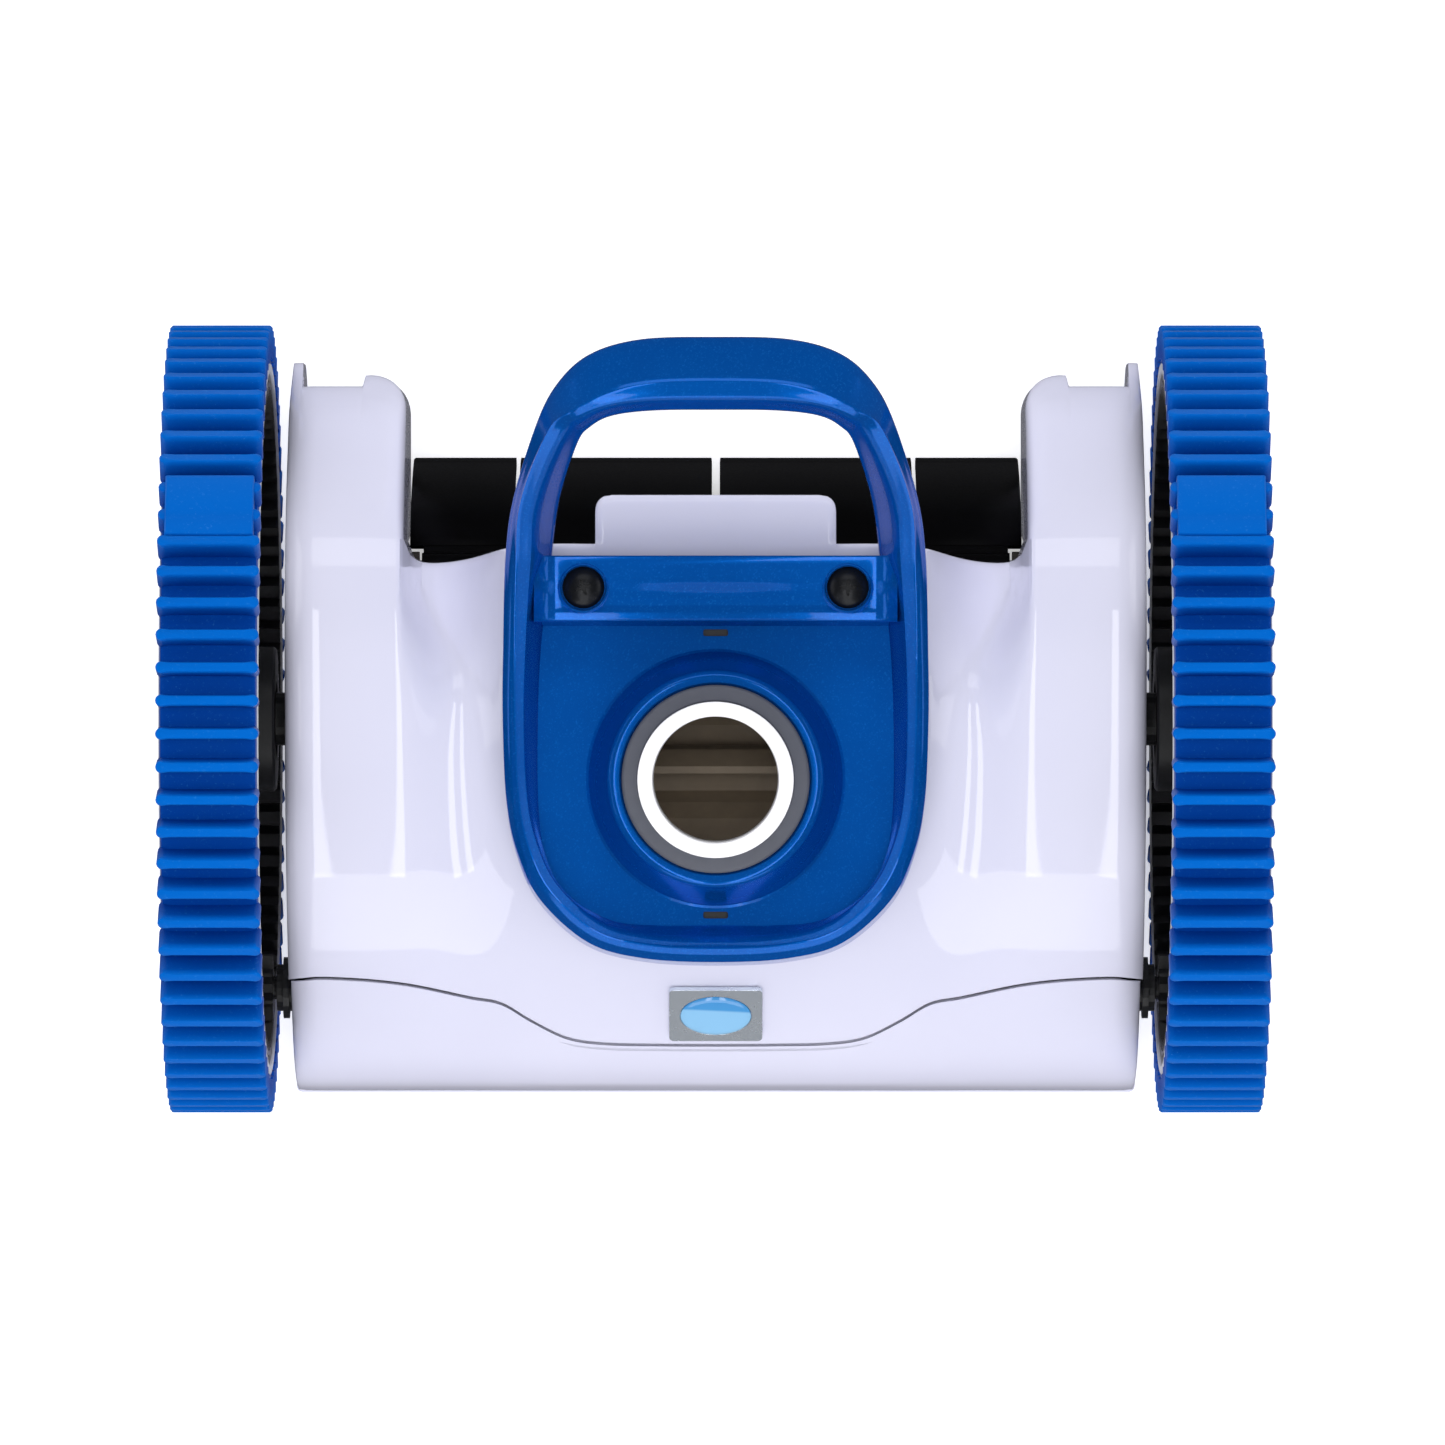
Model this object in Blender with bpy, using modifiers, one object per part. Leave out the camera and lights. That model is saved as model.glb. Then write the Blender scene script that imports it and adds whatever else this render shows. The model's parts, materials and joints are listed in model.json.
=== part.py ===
"""Two-wheel suction pool cleaner, as an assembly of separate pieces.

Run with: blender --background --python part.py
Metres, +Z up. The front faces -Y. The origin is on the floor, straight below
the middle of the wheel axle.
"""

import math

import bpy
import bmesh
from mathutils import Matrix

MM = 0.001
TURN = 2.0 * math.pi

# ---- overall sizes ----
WHEEL_RADIUS = 133.5 * MM
OVERALL_WIDTH = 369.0 * MM
TREAD_WIDTH = 34.0 * MM
BODY_HALF_WIDTH = 145.5 * MM
FIT_GAP = 0.3 * MM          # between pieces that touch
PARTING_GAP = 0.7 * MM      # between the upper body and the front skirt
RUNNING_GAP = 0.3 * MM      # round a turning shaft

# ---- wheels ----
RIB_COUNT = 76
WHEEL_STEPS = 32            # facets round a wheel's turned pieces
RIB_DEPTH = 9.0 * MM
RIB_TIP = 4.0 * MM
RIB_ROOT = 5.0 * MM
TYRE_WALL = 3.5 * MM
RIM_WALL = 3.6 * MM
HUMP_ANGLE = math.radians(33.0)
HUMP_SPREAD = math.radians(11.0)
HUB_BOSS_RADIUS = 24.5 * MM
AXLE_RADIUS = 9.0 * MM
AXLE_HOLE = 13.0 * MM         # in the body wall, clear of the axle
BUSHING_WALL = 3.0 * MM
CAP_RADIUS = 30.0 * MM

# ---- drive ----
RING_TEETH = 88
PINION_TEETH = 8
RING_MODULE = 2.5 * MM
TRAIN_MODULE = 2.0 * MM
SMALL_TEETH = 12
IDLER_TEETH = 24
PINION_Y = -92.0 * MM       # where the wheel pinion meets the ring gear
SHAFT_RADIUS = 4.0 * MM
GEAR_FACE = 8.0 * MM
SIDE_PLATE_X = 131.0 * MM
SIDE_PLATE_WALL = 4.0 * MM

# ---- turbine ----
CHAMBER_RADIUS = 42.0 * MM
CHAMBER_HALF = 58.0 * MM
HOUSING_WALL = 3.5 * MM
VANE_COUNT = 6
VANE_TIP_GAP = 3.0 * MM
THROAT_WIDTH = 76.0 * MM
THROAT_LENGTH = 56.0 * MM
THROAT_FLOOR = 13.0 * MM

# ---- hose swivel ----
SWIVEL_Y = -20.1 * MM
BORE_RADIUS = 20.9 * MM
CUFF_RADIUS = 25.75 * MM
CUFF_TOP = 265.0 * MM
COLLAR_RADIUS = 31.5 * MM
BOSS_BASE_RADIUS = 42.75 * MM
BOSS_RIM_RADIUS = 36.0 * MM
BOSS_TOP = 192.0 * MM
COLLAR_SEAT = 6.0 * MM        # depth of the collar's seat in the boss

# ---- body shells ----
SHELL_WALL = 2.6 * MM
EDGE_ROLL = 10.0 * MM
FRONT_Y = -129.5 * MM
FRONT_BOTTOM = 24.0 * MM
LOBE_INNER_X = 105.6 * MM
LOBE_REAR_Y = 118.0 * MM
LOBE_BOTTOM = 42.0 * MM
VALLEY_BOTTOM = 79.0 * MM
TAB_HALF_WIDTH = 43.0 * MM
TAB_REAR_Y = 75.5 * MM
DECK_TOP = 167.5 * MM
PAN_TOP = 24.0 * MM
PAN_WALL = 4.0 * MM

# ---- top frame ----
FLOOR_TOP = 172.0 * MM
FLOOR_WALL = 3.0 * MM
RIM_WIDTH = 4.7 * MM
SILL_GAP = 0.8 * MM          # between the frame's lower edge and the body
SCREW_X = 44.3 * MM
SCREW_Y = 44.0 * MM
SCREW_HEAD = 7.0 * MM
LEDGE_FRONT = 32.5 * MM
LEDGE_REAR = 54.7 * MM
LEDGE_TOP = 194.0 * MM

# ---- flaps ----
REAR_HINGE = (53.0 * MM, 72.0 * MM)
FRONT_HINGE = (-116.0 * MM, 32.0 * MM)
KNUCKLE_RADIUS = 4.2 * MM
EAR_RADIUS = 4.6 * MM
PIN_RADIUS = 1.6 * MM
FLAP_WALL = 2.4 * MM
FLAP_SPLIT_X = 68.7 * MM
FLAP_GAP = 1.5 * MM
SKID_X = 84.0 * MM

AXLE_Z = WHEEL_RADIUS
WHEEL_OUTER = OVERALL_WIDTH / 2
WHEEL_INNER = WHEEL_OUTER - TREAD_WIDTH
TYRE_BASE = WHEEL_RADIUS - RIB_DEPTH
RIM_RADIUS = TYRE_BASE - TYRE_WALL
HUB_RADIUS = RIM_RADIUS - RIM_WALL - FIT_GAP
RING_PITCH = RING_TEETH * RING_MODULE / 2
PINION_PITCH = PINION_TEETH * RING_MODULE / 2
RING_OUTER = RING_PITCH + 4.6 * MM
TRAIN_STEP = (SMALL_TEETH + IDLER_TEETH) * TRAIN_MODULE / 2
PINION_Z = AXLE_Z - math.sqrt((RING_PITCH - PINION_PITCH) ** 2 - PINION_Y ** 2)
IDLER_Y = PINION_Y + TRAIN_STEP
TURBINE_Y = IDLER_Y + TRAIN_STEP
MESH_ANGLE = math.atan2(PINION_Z - AXLE_Z, PINION_Y)
BUSHING_RADIUS = AXLE_RADIUS + RUNNING_GAP + BUSHING_WALL

for old in list(bpy.data.objects):
    bpy.data.objects.remove(old, do_unlink=True)

PARTS = bpy.data.collections.new("pool_cleaner")
CUTTERS = bpy.data.collections.new("cutters")
bpy.context.scene.collection.children.link(PARTS)
bpy.context.scene.collection.children.link(CUTTERS)

# Turns a shape drawn in its local XY plane so that it stands across the
# machine: local X is world Y, local Y is world Z and local Z is world X.
ACROSS = Matrix(((0, 0, 1), (1, 0, 0), (0, 1, 0)))


# ---------------------------------------------------------------- materials

def plastic(name, colour, roughness, metallic=0.0):
    mat = bpy.data.materials.new(name)
    mat.use_nodes = True
    shader = mat.node_tree.nodes["Principled BSDF"]
    shader.inputs["Base Color"].default_value = (*colour, 1.0)
    shader.inputs["Roughness"].default_value = roughness
    shader.inputs["Metallic"].default_value = metallic
    mat.diffuse_color = (*colour, 1.0)
    return mat


WHITE = plastic("white_abs", (0.84, 0.84, 0.90), 0.12)
FRAME_BLUE = plastic("frame_blue", (0.01, 0.09, 0.42), 0.18, 0.2)
TYRE_BLUE = plastic("tyre_rubber", (0.02, 0.12, 0.44), 0.5)
BLACK = plastic("black_nylon", (0.012, 0.012, 0.014), 0.35)
DARK = plastic("dark_pan", (0.035, 0.028, 0.022), 0.5)
GREY = plastic("collar_grey", (0.33, 0.34, 0.36), 0.4)
RIM_GREY = plastic("rim_grey", (0.6, 0.6, 0.62), 0.4)
VANE_BROWN = plastic("vane_brown", (0.17, 0.14, 0.11), 0.45)
STEEL = plastic("stainless_steel", (0.6, 0.6, 0.6), 0.25, 1.0)
SCREW_BLACK = plastic("black_screw", (0.02, 0.02, 0.022), 0.3, 0.6)
BADGE_SILVER = plastic("badge_silver", (0.75, 0.77, 0.78), 0.2, 0.8)
BADGE_BLUE = plastic("badge_blue", (0.1, 0.35, 0.6), 0.1)


# ------------------------------------------------------------------ helpers

def smooth_step(value):
    value = min(1.0, max(0.0, value))
    return value * value * (3.0 - 2.0 * value)


def along(points, at):
    """Height of a smooth line through (position, height) points, in mm."""
    at = at / MM
    if at <= points[0][0]:
        return points[0][1] * MM
    if at >= points[-1][0]:
        return points[-1][1] * MM
    slopes = []
    for i in range(len(points)):
        low = points[max(0, i - 1)]
        high = points[min(len(points) - 1, i + 1)]
        slopes.append((high[1] - low[1]) / (high[0] - low[0]))
    for i in range(len(points) - 1):
        (x0, h0), (x1, h1) = points[i], points[i + 1]
        if at <= x1:
            span = x1 - x0
            t = (at - x0) / span
            ease = t * t * (3.0 - 2.0 * t)
            height = h0 + (h1 - h0) * ease
            height += slopes[i] * span * t * (1.0 - t) ** 2
            height -= slopes[i + 1] * span * t * t * (1.0 - t)
            return height * MM


def add_part(name, mesh, material, place=None, parent=None):
    obj = bpy.data.objects.new(name, mesh)
    PARTS.objects.link(obj)
    mesh.materials.clear()
    mesh.materials.append(material)
    if place is not None:
        obj.matrix_world = place
    if parent is not None:
        obj.parent = parent
        obj.matrix_parent_inverse = parent.matrix_world.inverted()
    return obj


def joint_centre(name, x, y, z):
    """An empty that stands on a joint's axis and carries the moving pieces."""
    empty = bpy.data.objects.new(name, None)
    PARTS.objects.link(empty)
    empty.location = (x, y, z)
    bpy.context.view_layer.update()
    return empty


def evaluated_mesh(obj):
    depsgraph = bpy.context.evaluated_depsgraph_get()
    mesh = bpy.data.meshes.new_from_object(obj.evaluated_get(depsgraph))
    data = obj.data
    bpy.data.objects.remove(obj, do_unlink=True)
    if data.users == 0:
        if isinstance(data, bpy.types.Curve):
            bpy.data.curves.remove(data)
        else:
            bpy.data.meshes.remove(data)
    return mesh


def cleaned(mesh):
    bm = bmesh.new()
    bm.from_mesh(mesh)
    bmesh.ops.remove_doubles(bm, verts=bm.verts, dist=1e-6)
    bmesh.ops.recalc_face_normals(bm, faces=bm.faces)
    bm.to_mesh(mesh)
    bm.free()
    return mesh


def flat_mesh(outlines, thickness):
    """A flat outline, with any holes, extruded about its own plane."""
    curve = bpy.data.curves.new("outline", "CURVE")
    curve.dimensions = "2D"
    curve.fill_mode = "BOTH"
    curve.extrude = thickness / 2
    for outline in outlines:
        spline = curve.splines.new("POLY")
        spline.points.add(len(outline) - 1)
        for point, (x, y) in zip(spline.points, outline):
            point.co = (x, y, 0.0, 1.0)
        spline.use_cyclic_u = True
    obj = bpy.data.objects.new("outline", curve)
    bpy.context.scene.collection.objects.link(obj)
    bpy.context.view_layer.update()
    return cleaned(evaluated_mesh(obj))


def turned_mesh(profile, steps=48, closed=True):
    """A profile of (radius, height) points turned about Z with Screw."""
    mesh = bpy.data.meshes.new("profile")
    verts = [(radius, 0.0, height) for radius, height in profile]
    edges = [(i, i + 1) for i in range(len(verts) - 1)]
    if closed:
        edges.append((len(verts) - 1, 0))
    mesh.from_pydata(verts, edges, [])
    obj = bpy.data.objects.new("profile", mesh)
    bpy.context.scene.collection.objects.link(obj)
    screw = obj.modifiers.new("turn", "SCREW")
    screw.axis = "Z"
    screw.steps = steps
    screw.render_steps = steps
    screw.use_merge_vertices = True
    screw.merge_threshold = 0.00001
    bpy.context.view_layer.update()
    return cleaned(evaluated_mesh(obj))


def block_mesh(size, centre=(0.0, 0.0, 0.0)):
    bm = bmesh.new()
    bmesh.ops.create_cube(bm, size=1.0)
    bmesh.ops.scale(bm, vec=size, verts=bm.verts)
    bmesh.ops.translate(bm, vec=centre, verts=bm.verts)
    mesh = bpy.data.meshes.new("block")
    bm.to_mesh(mesh)
    bm.free()
    return mesh


def rod_mesh(radius, length, steps=20):
    return turned_mesh([(0, length / 2), (radius, length / 2),
                        (radius, -length / 2), (0, -length / 2)], steps, False)


def across_at(x, y=0.0, z=0.0):
    return Matrix.Translation((x, y, z)) @ ACROSS.to_4x4()


def upright_at(x, y=0.0, z=0.0):
    return Matrix.Translation((x, y, z))


def boolean(obj, mesh, place, operation):
    cutter = bpy.data.objects.new("cut_" + obj.name, mesh)
    CUTTERS.objects.link(cutter)
    cutter.matrix_world = place
    cutter.hide_render = True
    cutter.display_type = "WIRE"
    step = obj.modifiers.new(operation.lower(), "BOOLEAN")
    step.operation = operation
    step.object = cutter
    step.solver = "EXACT"


def cut(obj, mesh, place):
    boolean(obj, mesh, place, "DIFFERENCE")


def join(obj, mesh, place):
    boolean(obj, mesh, place, "UNION")


def circle(radius, centre=(0.0, 0.0), count=20):
    return [(centre[0] + radius * math.cos(TURN * k / count),
             centre[1] + radius * math.sin(TURN * k / count)) for k in range(count)]


def rounded_box(x0, y0, x1, y1, radius, steps=4):
    """Outline of a rectangle with round corners, anticlockwise."""
    points = []
    corners = ((x1 - radius, y1 - radius, 0), (x0 + radius, y1 - radius, 1),
               (x0 + radius, y0 + radius, 2), (x1 - radius, y0 + radius, 3))
    for cx, cy, quarter in corners:
        for k in range(steps + 1):
            angle = (quarter + k / steps) * math.pi / 2
            points.append((cx + radius * math.cos(angle), cy + radius * math.sin(angle)))
    return points


# -------------------------------------------------------------------- gears

def gear_outline(teeth, module, phase, tip, root, tip_half, root_half, inward=False):
    """Teeth with straight flanks. Inward teeth point to the gear's middle."""
    pitch = teeth * module / 2
    sign = -1.0 if inward else 1.0
    tip_radius = pitch + sign * tip
    root_radius = pitch - sign * root
    points = []
    for k in range(teeth):
        centre = phase + TURN * k / teeth
        tips = ((tip_radius, -tip_half), (tip_radius, tip_half)) if tip_half else ((tip_radius, 0.0),)
        for radius, offset in ((root_radius, -root_half), *tips, (root_radius, root_half)):
            angle = centre + offset / radius
            points.append((radius * math.cos(angle), radius * math.sin(angle)))
    return points


def train_gear(teeth, phase, bore):
    outline = gear_outline(teeth, TRAIN_MODULE, phase, 1.5 * MM, 2.2 * MM, 0.5 * MM, 1.3 * MM)
    return flat_mesh([outline, circle(bore, count=16)], GEAR_FACE)


# -------------------------------------------------------------------- wheel

def tyre_outline():
    """Side view of the tyre: ribs all round and one smooth block."""
    pitch = TURN / RIB_COUNT
    points = []
    for k in range(RIB_COUNT):
        centre = math.pi / 2 - HUMP_ANGLE + k * pitch
        if k in (1, RIB_COUNT - 1):
            continue
        if k == 0:
            half = HUMP_SPREAD / 2
            spread = 1.0 * MM / TYRE_BASE
            points.append((TYRE_BASE, centre - half - spread))
            for step in range(5):
                points.append((WHEEL_RADIUS, centre - half + 2 * half * step / 4))
            points.append((TYRE_BASE, centre + half + spread))
            continue
        for radius, width in ((TYRE_BASE, -RIB_ROOT), (WHEEL_RADIUS, -RIB_TIP),
                              (WHEEL_RADIUS, RIB_TIP), (TYRE_BASE, RIB_ROOT)):
            points.append((radius, centre + width / 2 / radius))
    return [(radius * math.cos(angle), radius * math.sin(angle)) for radius, angle in points]


def hub_opening(start, end, inner, outer, steps=3):
    points = []
    for k in range(steps + 1):
        angle = start + (end - start) * k / steps
        points.append((outer * math.cos(angle), outer * math.sin(angle)))
    for k in range(steps + 1):
        angle = end + (start - end) * k / steps
        points.append((inner * math.cos(angle), inner * math.sin(angle)))
    return points


def build_wheel(side, sign):
    """One wheel: tyre on a rim, hub with its ring gear, bushing and cap."""
    middle = sign * (WHEEL_OUTER + WHEEL_INNER) / 2
    axis = joint_centre(side + "_wheel_axis", middle, 0.0, AXLE_Z)
    place = across_at(middle, 0.0, AXLE_Z)

    tyre_hole = circle(RIM_RADIUS + FIT_GAP, count=WHEEL_STEPS)
    add_part(side + "_tyre", flat_mesh([tyre_outline(), tyre_hole], TREAD_WIDTH),
             TYRE_BLUE, place, axis)

    half = TREAD_WIDTH / 2 - 0.5 * MM
    rim = [(RIM_RADIUS, half), (RIM_RADIUS, -half),
           (RIM_RADIUS - RIM_WALL, -half), (RIM_RADIUS - RIM_WALL, half)]
    add_part(side + "_rim", turned_mesh(rim, WHEEL_STEPS), RIM_GREY, place, axis)

    # The hub is a dished disc with a drum at its edge and a boss in its middle.
    inner = sign * (BODY_HALF_WIDTH + 3.5 * MM - abs(middle))
    outer = sign * (half - 6.0 * MM)
    disc = sign * (half - 10.0 * MM)
    drum = HUB_RADIUS - 3.0 * MM
    bore = BUSHING_RADIUS + FIT_GAP
    hub = [(HUB_RADIUS, sign * (half - 1.0 * MM)),
           (HUB_RADIUS, sign * (half - 15.0 * MM)),
           (drum, sign * (half - 15.0 * MM)),
           (drum, disc - sign * 3.0 * MM),
           (HUB_BOSS_RADIUS, disc - sign * 3.0 * MM),
           (HUB_BOSS_RADIUS, inner),
           (bore, inner),
           (bore, outer),
           (HUB_BOSS_RADIUS + 8.0 * MM, outer),
           (HUB_BOSS_RADIUS + 8.0 * MM, disc),
           (drum, disc),
           (drum, sign * (half - 1.0 * MM))]
    hub_obj = add_part(side + "_hub", turned_mesh(hub, WHEEL_STEPS), BLACK, place, axis)
    for k in range(6):
        start = TURN * k / 6 + math.radians(9)
        end = TURN * (k + 1) / 6 - math.radians(9)
        opening = hub_opening(start, end, 46.0 * MM, HUB_RADIUS - 22.0 * MM)
        cut(hub_obj, flat_mesh([opening], 14.0 * MM),
            across_at(middle + disc, 0.0, AXLE_Z))

    ring_middle = sign * (WHEEL_INNER + 1.0 * MM + GEAR_FACE / 2)
    ring_phase = MESH_ANGLE + math.pi / RING_TEETH
    teeth = gear_outline(RING_TEETH, RING_MODULE, ring_phase,
                         1.2 * MM, 2.8 * MM, 0.0, 1.6 * MM, inward=True)
    add_part(side + "_ring_gear", flat_mesh([circle(RING_OUTER, count=WHEEL_STEPS), teeth], GEAR_FACE),
             BLACK, across_at(ring_middle, 0.0, AXLE_Z), axis)

    length = abs(outer - inner) - 2.0 * MM
    bush_inner = AXLE_RADIUS + RUNNING_GAP
    bushing = [(BUSHING_RADIUS, length / 2), (BUSHING_RADIUS, -length / 2),
               (bush_inner, -length / 2), (bush_inner, length / 2)]
    add_part(side + "_bushing", turned_mesh(bushing, 20), GREY,
             across_at(middle + (inner + outer) / 2, 0.0, AXLE_Z), axis)

    top = sign * (half - 1.0 * MM)
    seat = outer + sign * FIT_GAP
    cap = [(0, top), (CAP_RADIUS - 6.0 * MM, top),
           (CAP_RADIUS, top - sign * 2.5 * MM), (CAP_RADIUS, seat), (0, seat)]
    add_part(side + "_hub_cap", turned_mesh(cap, 32, False), GREY, place, axis)


def build_drive(side, sign):
    """The gear train between the turbine and one wheel."""
    plate_out = SIDE_PLATE_X + SIDE_PLATE_WALL
    plate_mid = sign * (SIDE_PLATE_X + plate_out) / 2
    gear_x = sign * (SIDE_PLATE_X - 1.2 * MM - GEAR_FACE / 2)

    # Side plate: carries the axle, the idler stud and the drive shaft.
    low = PAN_TOP + FIT_GAP
    front, rear = PINION_Y - 10.0 * MM, 24.0 * MM
    outline = [(rear, low)]
    for k in range(7):
        y = rear + (front - rear) * k / 6
        under = hood_height(plate_out, y) - side_drop(plate_out) - 2.5 * SHELL_WALL
        outline.append((y, min(AXLE_Z + 21.0 * MM, under)))
    outline.append((front, low))
    hole = SHAFT_RADIUS + RUNNING_GAP
    holes = [circle(hole, (PINION_Y, PINION_Z), 16),
             circle(hole, (TURBINE_Y, PINION_Z), 16)]
    plate = add_part(side + "_side_plate", flat_mesh([outline] + holes, SIDE_PLATE_WALL),
                     BLACK, across_at(plate_mid))
    stud_length = GEAR_FACE + 3.0 * MM
    join(plate, rod_mesh(SHAFT_RADIUS - 1.0 * MM, stud_length, 20),
         across_at(sign * (SIDE_PLATE_X - stud_length / 2 + 1.0 * MM), IDLER_Y, PINION_Z))

    # Axle: a flange on the side plate and a stub through the body wall.
    flange_x = plate_out + FIT_GAP
    tip_x = WHEEL_OUTER - 9.5 * MM
    axle = [(0, sign * tip_x), (AXLE_RADIUS, sign * tip_x),
            (AXLE_RADIUS, sign * (flange_x + 4.0 * MM)),
            (19.0 * MM, sign * (flange_x + 4.0 * MM)),
            (19.0 * MM, sign * flange_x), (0, sign * flange_x)]
    add_part(side + "_axle", turned_mesh(axle, 20, False), BLACK, across_at(0, 0, AXLE_Z))

    # Stepped bearing peg, pushed through the body wall beside the wheel pinion.
    wall_out = BODY_HALF_WIDTH
    peg = [(8.0 * MM, sign * (wall_out + 4.6 * MM)),
           (8.0 * MM, sign * (wall_out + 2.4 * MM)),
           (10.5 * MM, sign * (wall_out + 2.4 * MM)),
           (10.5 * MM, sign * (wall_out + FIT_GAP)),
           (8.0 * MM, sign * (wall_out + FIT_GAP)),
           (8.0 * MM, sign * (plate_out + FIT_GAP)),
           (hole, sign * (plate_out + FIT_GAP)),
           (hole, sign * (wall_out + 4.6 * MM))]
    add_part(side + "_shaft_bearing", turned_mesh(peg, 20), BLACK,
             across_at(0, PINION_Y, PINION_Z))

    # Drive shaft with the wheel pinion moulded on its outer end.
    shaft_axis = joint_centre(side + "_drive_axis", gear_x, PINION_Y, PINION_Z)
    pinion_x = sign * (WHEEL_INNER + 1.0 * MM + GEAR_FACE / 2)
    inner_end = abs(gear_x) - GEAR_FACE / 2 - 3.0 * MM
    outer_end = abs(pinion_x) + GEAR_FACE / 2 - 1.0 * MM
    pinion = flat_mesh([gear_outline(PINION_TEETH, RING_MODULE, MESH_ANGLE,
                                     2.2 * MM, 2.0 * MM, 0.6 * MM, 1.7 * MM)], GEAR_FACE)
    shaft = add_part(side + "_drive_shaft", pinion, BLACK,
                     across_at(pinion_x, PINION_Y, PINION_Z), shaft_axis)
    join(shaft, rod_mesh(SHAFT_RADIUS, outer_end - inner_end),
         across_at(sign * (inner_end + outer_end) / 2, PINION_Y, PINION_Z))
    bore = SHAFT_RADIUS + FIT_GAP
    add_part(side + "_drive_gear", train_gear(SMALL_TEETH, 0.0, bore), GREY,
             across_at(gear_x, PINION_Y, PINION_Z), shaft_axis)

    idler_axis = joint_centre(side + "_idler_axis", gear_x, IDLER_Y, PINION_Z)
    idler_bore = SHAFT_RADIUS - 1.0 * MM + RUNNING_GAP
    add_part(side + "_idler_gear", train_gear(IDLER_TEETH, math.pi / IDLER_TEETH, idler_bore),
             WHITE, across_at(gear_x, IDLER_Y, PINION_Z), idler_axis)
    return gear_x


# ------------------------------------------------------------------ turbine

def vane_outline():
    """End view of the rotor: a hub with gently swept vanes."""
    hub = 11.0 * MM
    tip = CHAMBER_RADIUS - VANE_TIP_GAP
    sweep = math.radians(26.0)
    half = 1.2 * MM
    points = []
    for k in range(VANE_COUNT):
        base = TURN * k / VANE_COUNT
        for side in (-1.0, 1.0):
            steps = range(5) if side < 0 else range(4, -1, -1)
            for step in steps:
                share = step / 4
                radius = hub + (tip - hub) * share
                angle = base + sweep * share * share + side * half / radius
                points.append((radius * math.cos(angle), radius * math.sin(angle)))
    return points


def build_turbine(gear_x):
    axis = joint_centre("turbine_axis", 0.0, TURBINE_Y, PINION_Z)
    place = across_at(0.0, TURBINE_Y, PINION_Z)
    bore = SHAFT_RADIUS + FIT_GAP
    rotor_length = 2 * (CHAMBER_HALF - 3.0 * MM)
    add_part("turbine_rotor", flat_mesh([vane_outline(), circle(bore, count=16)], rotor_length),
             VANE_BROWN, place, axis)
    shaft_end = SIDE_PLATE_X + SIDE_PLATE_WALL - 0.5 * MM
    add_part("turbine_shaft", rod_mesh(SHAFT_RADIUS, 2 * shaft_end), STEEL, place, axis)
    for side, sign in (("left", -1.0), ("right", 1.0)):
        add_part("turbine_gear_" + side, train_gear(SMALL_TEETH, 0.0, bore), GREY,
                 across_at(sign * abs(gear_x), TURBINE_Y, PINION_Z), axis)

    # Housing: a drum across the machine, a neck up and a throat down.
    outer = CHAMBER_RADIUS + HOUSING_WALL
    wall = HOUSING_WALL
    neck = BORE_RADIUS + 6.0 * MM
    neck_top = FLOOR_TOP - FLOOR_WALL - 14.0 * MM
    housing = add_part("turbine_housing",
                       rod_mesh(outer, 2 * (CHAMBER_HALF + wall), 32), DARK, place)
    centre_z = PINION_Z
    height = neck_top - centre_z
    join(housing, rod_mesh(neck + wall, height, 28),
         upright_at(0, SWIVEL_Y, centre_z + height / 2))
    throat_height = centre_z - THROAT_FLOOR
    throat_middle = (centre_z + THROAT_FLOOR) / 2
    join(housing, block_mesh((THROAT_WIDTH + 2 * wall, THROAT_LENGTH + 2 * wall, throat_height)),
         upright_at(0, TURBINE_Y, throat_middle))
    cut(housing, rod_mesh(CHAMBER_RADIUS, 2 * CHAMBER_HALF, 32), place)
    cut(housing, rod_mesh(neck, height + 20.0 * MM, 28),
        upright_at(0, SWIVEL_Y, centre_z + height / 2 + 10.0 * MM))
    cut(housing, block_mesh((THROAT_WIDTH, THROAT_LENGTH, throat_height + 10.0 * MM)),
        upright_at(0, TURBINE_Y, throat_middle - 5.0 * MM))
    bearing_radius = 8.5 * MM
    cut(housing, rod_mesh(bearing_radius + FIT_GAP, 4 * CHAMBER_HALF, 20), place)
    for side, sign in (("left", -1.0), ("right", 1.0)):
        low = sign * (CHAMBER_HALF + FIT_GAP)
        high = sign * (CHAMBER_HALF + wall + 3.0 * MM)
        hole = SHAFT_RADIUS + RUNNING_GAP
        ring = [(bearing_radius, high), (bearing_radius, low), (hole, low), (hole, high)]
        add_part("turbine_bearing_" + side, turned_mesh(ring, 20), STEEL, place)


# -------------------------------------------------------------- body shells

# (position along Y, height) in mm, from the front lip to the rear.
VALLEY_LINE = ((-129.5, 34), (-125.5, 66), (-114, 95), (-90, 122), (-60, 141), (-30, 151),
               (0, 153), (25, 147), (45, 131), (61, 110), (80, 92))
LOBE_LINE = ((-129.5, 34), (-125.5, 67), (-114, 98), (-90, 127), (-60, 148), (-30, 160.5),
             (0, 166), (35, 167), (70, 155), (100, 127), (112, 105), (123, 72))
DECK_LINE = ((-129.5, 34), (-125.5, 66), (-114, 95), (-90, 123), (-76, 138), (-60, 149),
             (-40, 158), (-15, 165), (0, 167), (12, 167.5), (62, 167.5), (75.5, 158))
VALLEY_REAR = ((0, 58), (43, 59), (72, 59), (94, 54), (105.6, 61))
PARTING_LINE = ((0, -111.6), (20, -111.5), (39, -111), (51, -109), (63, -103), (73, -97),
                (83, -95), (107, -90), (133, -88), (146, -89))
FRAME_LINE = ((-83.4, 0), (-82, 25), (-76, 44), (-62, 60), (-45, 69), (-27, 71), (0, 71.7),
              (23, 71), (53, 69), (73, 66), (97, 60), (111, 53), (122, 42), (126.6, 25))


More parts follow.
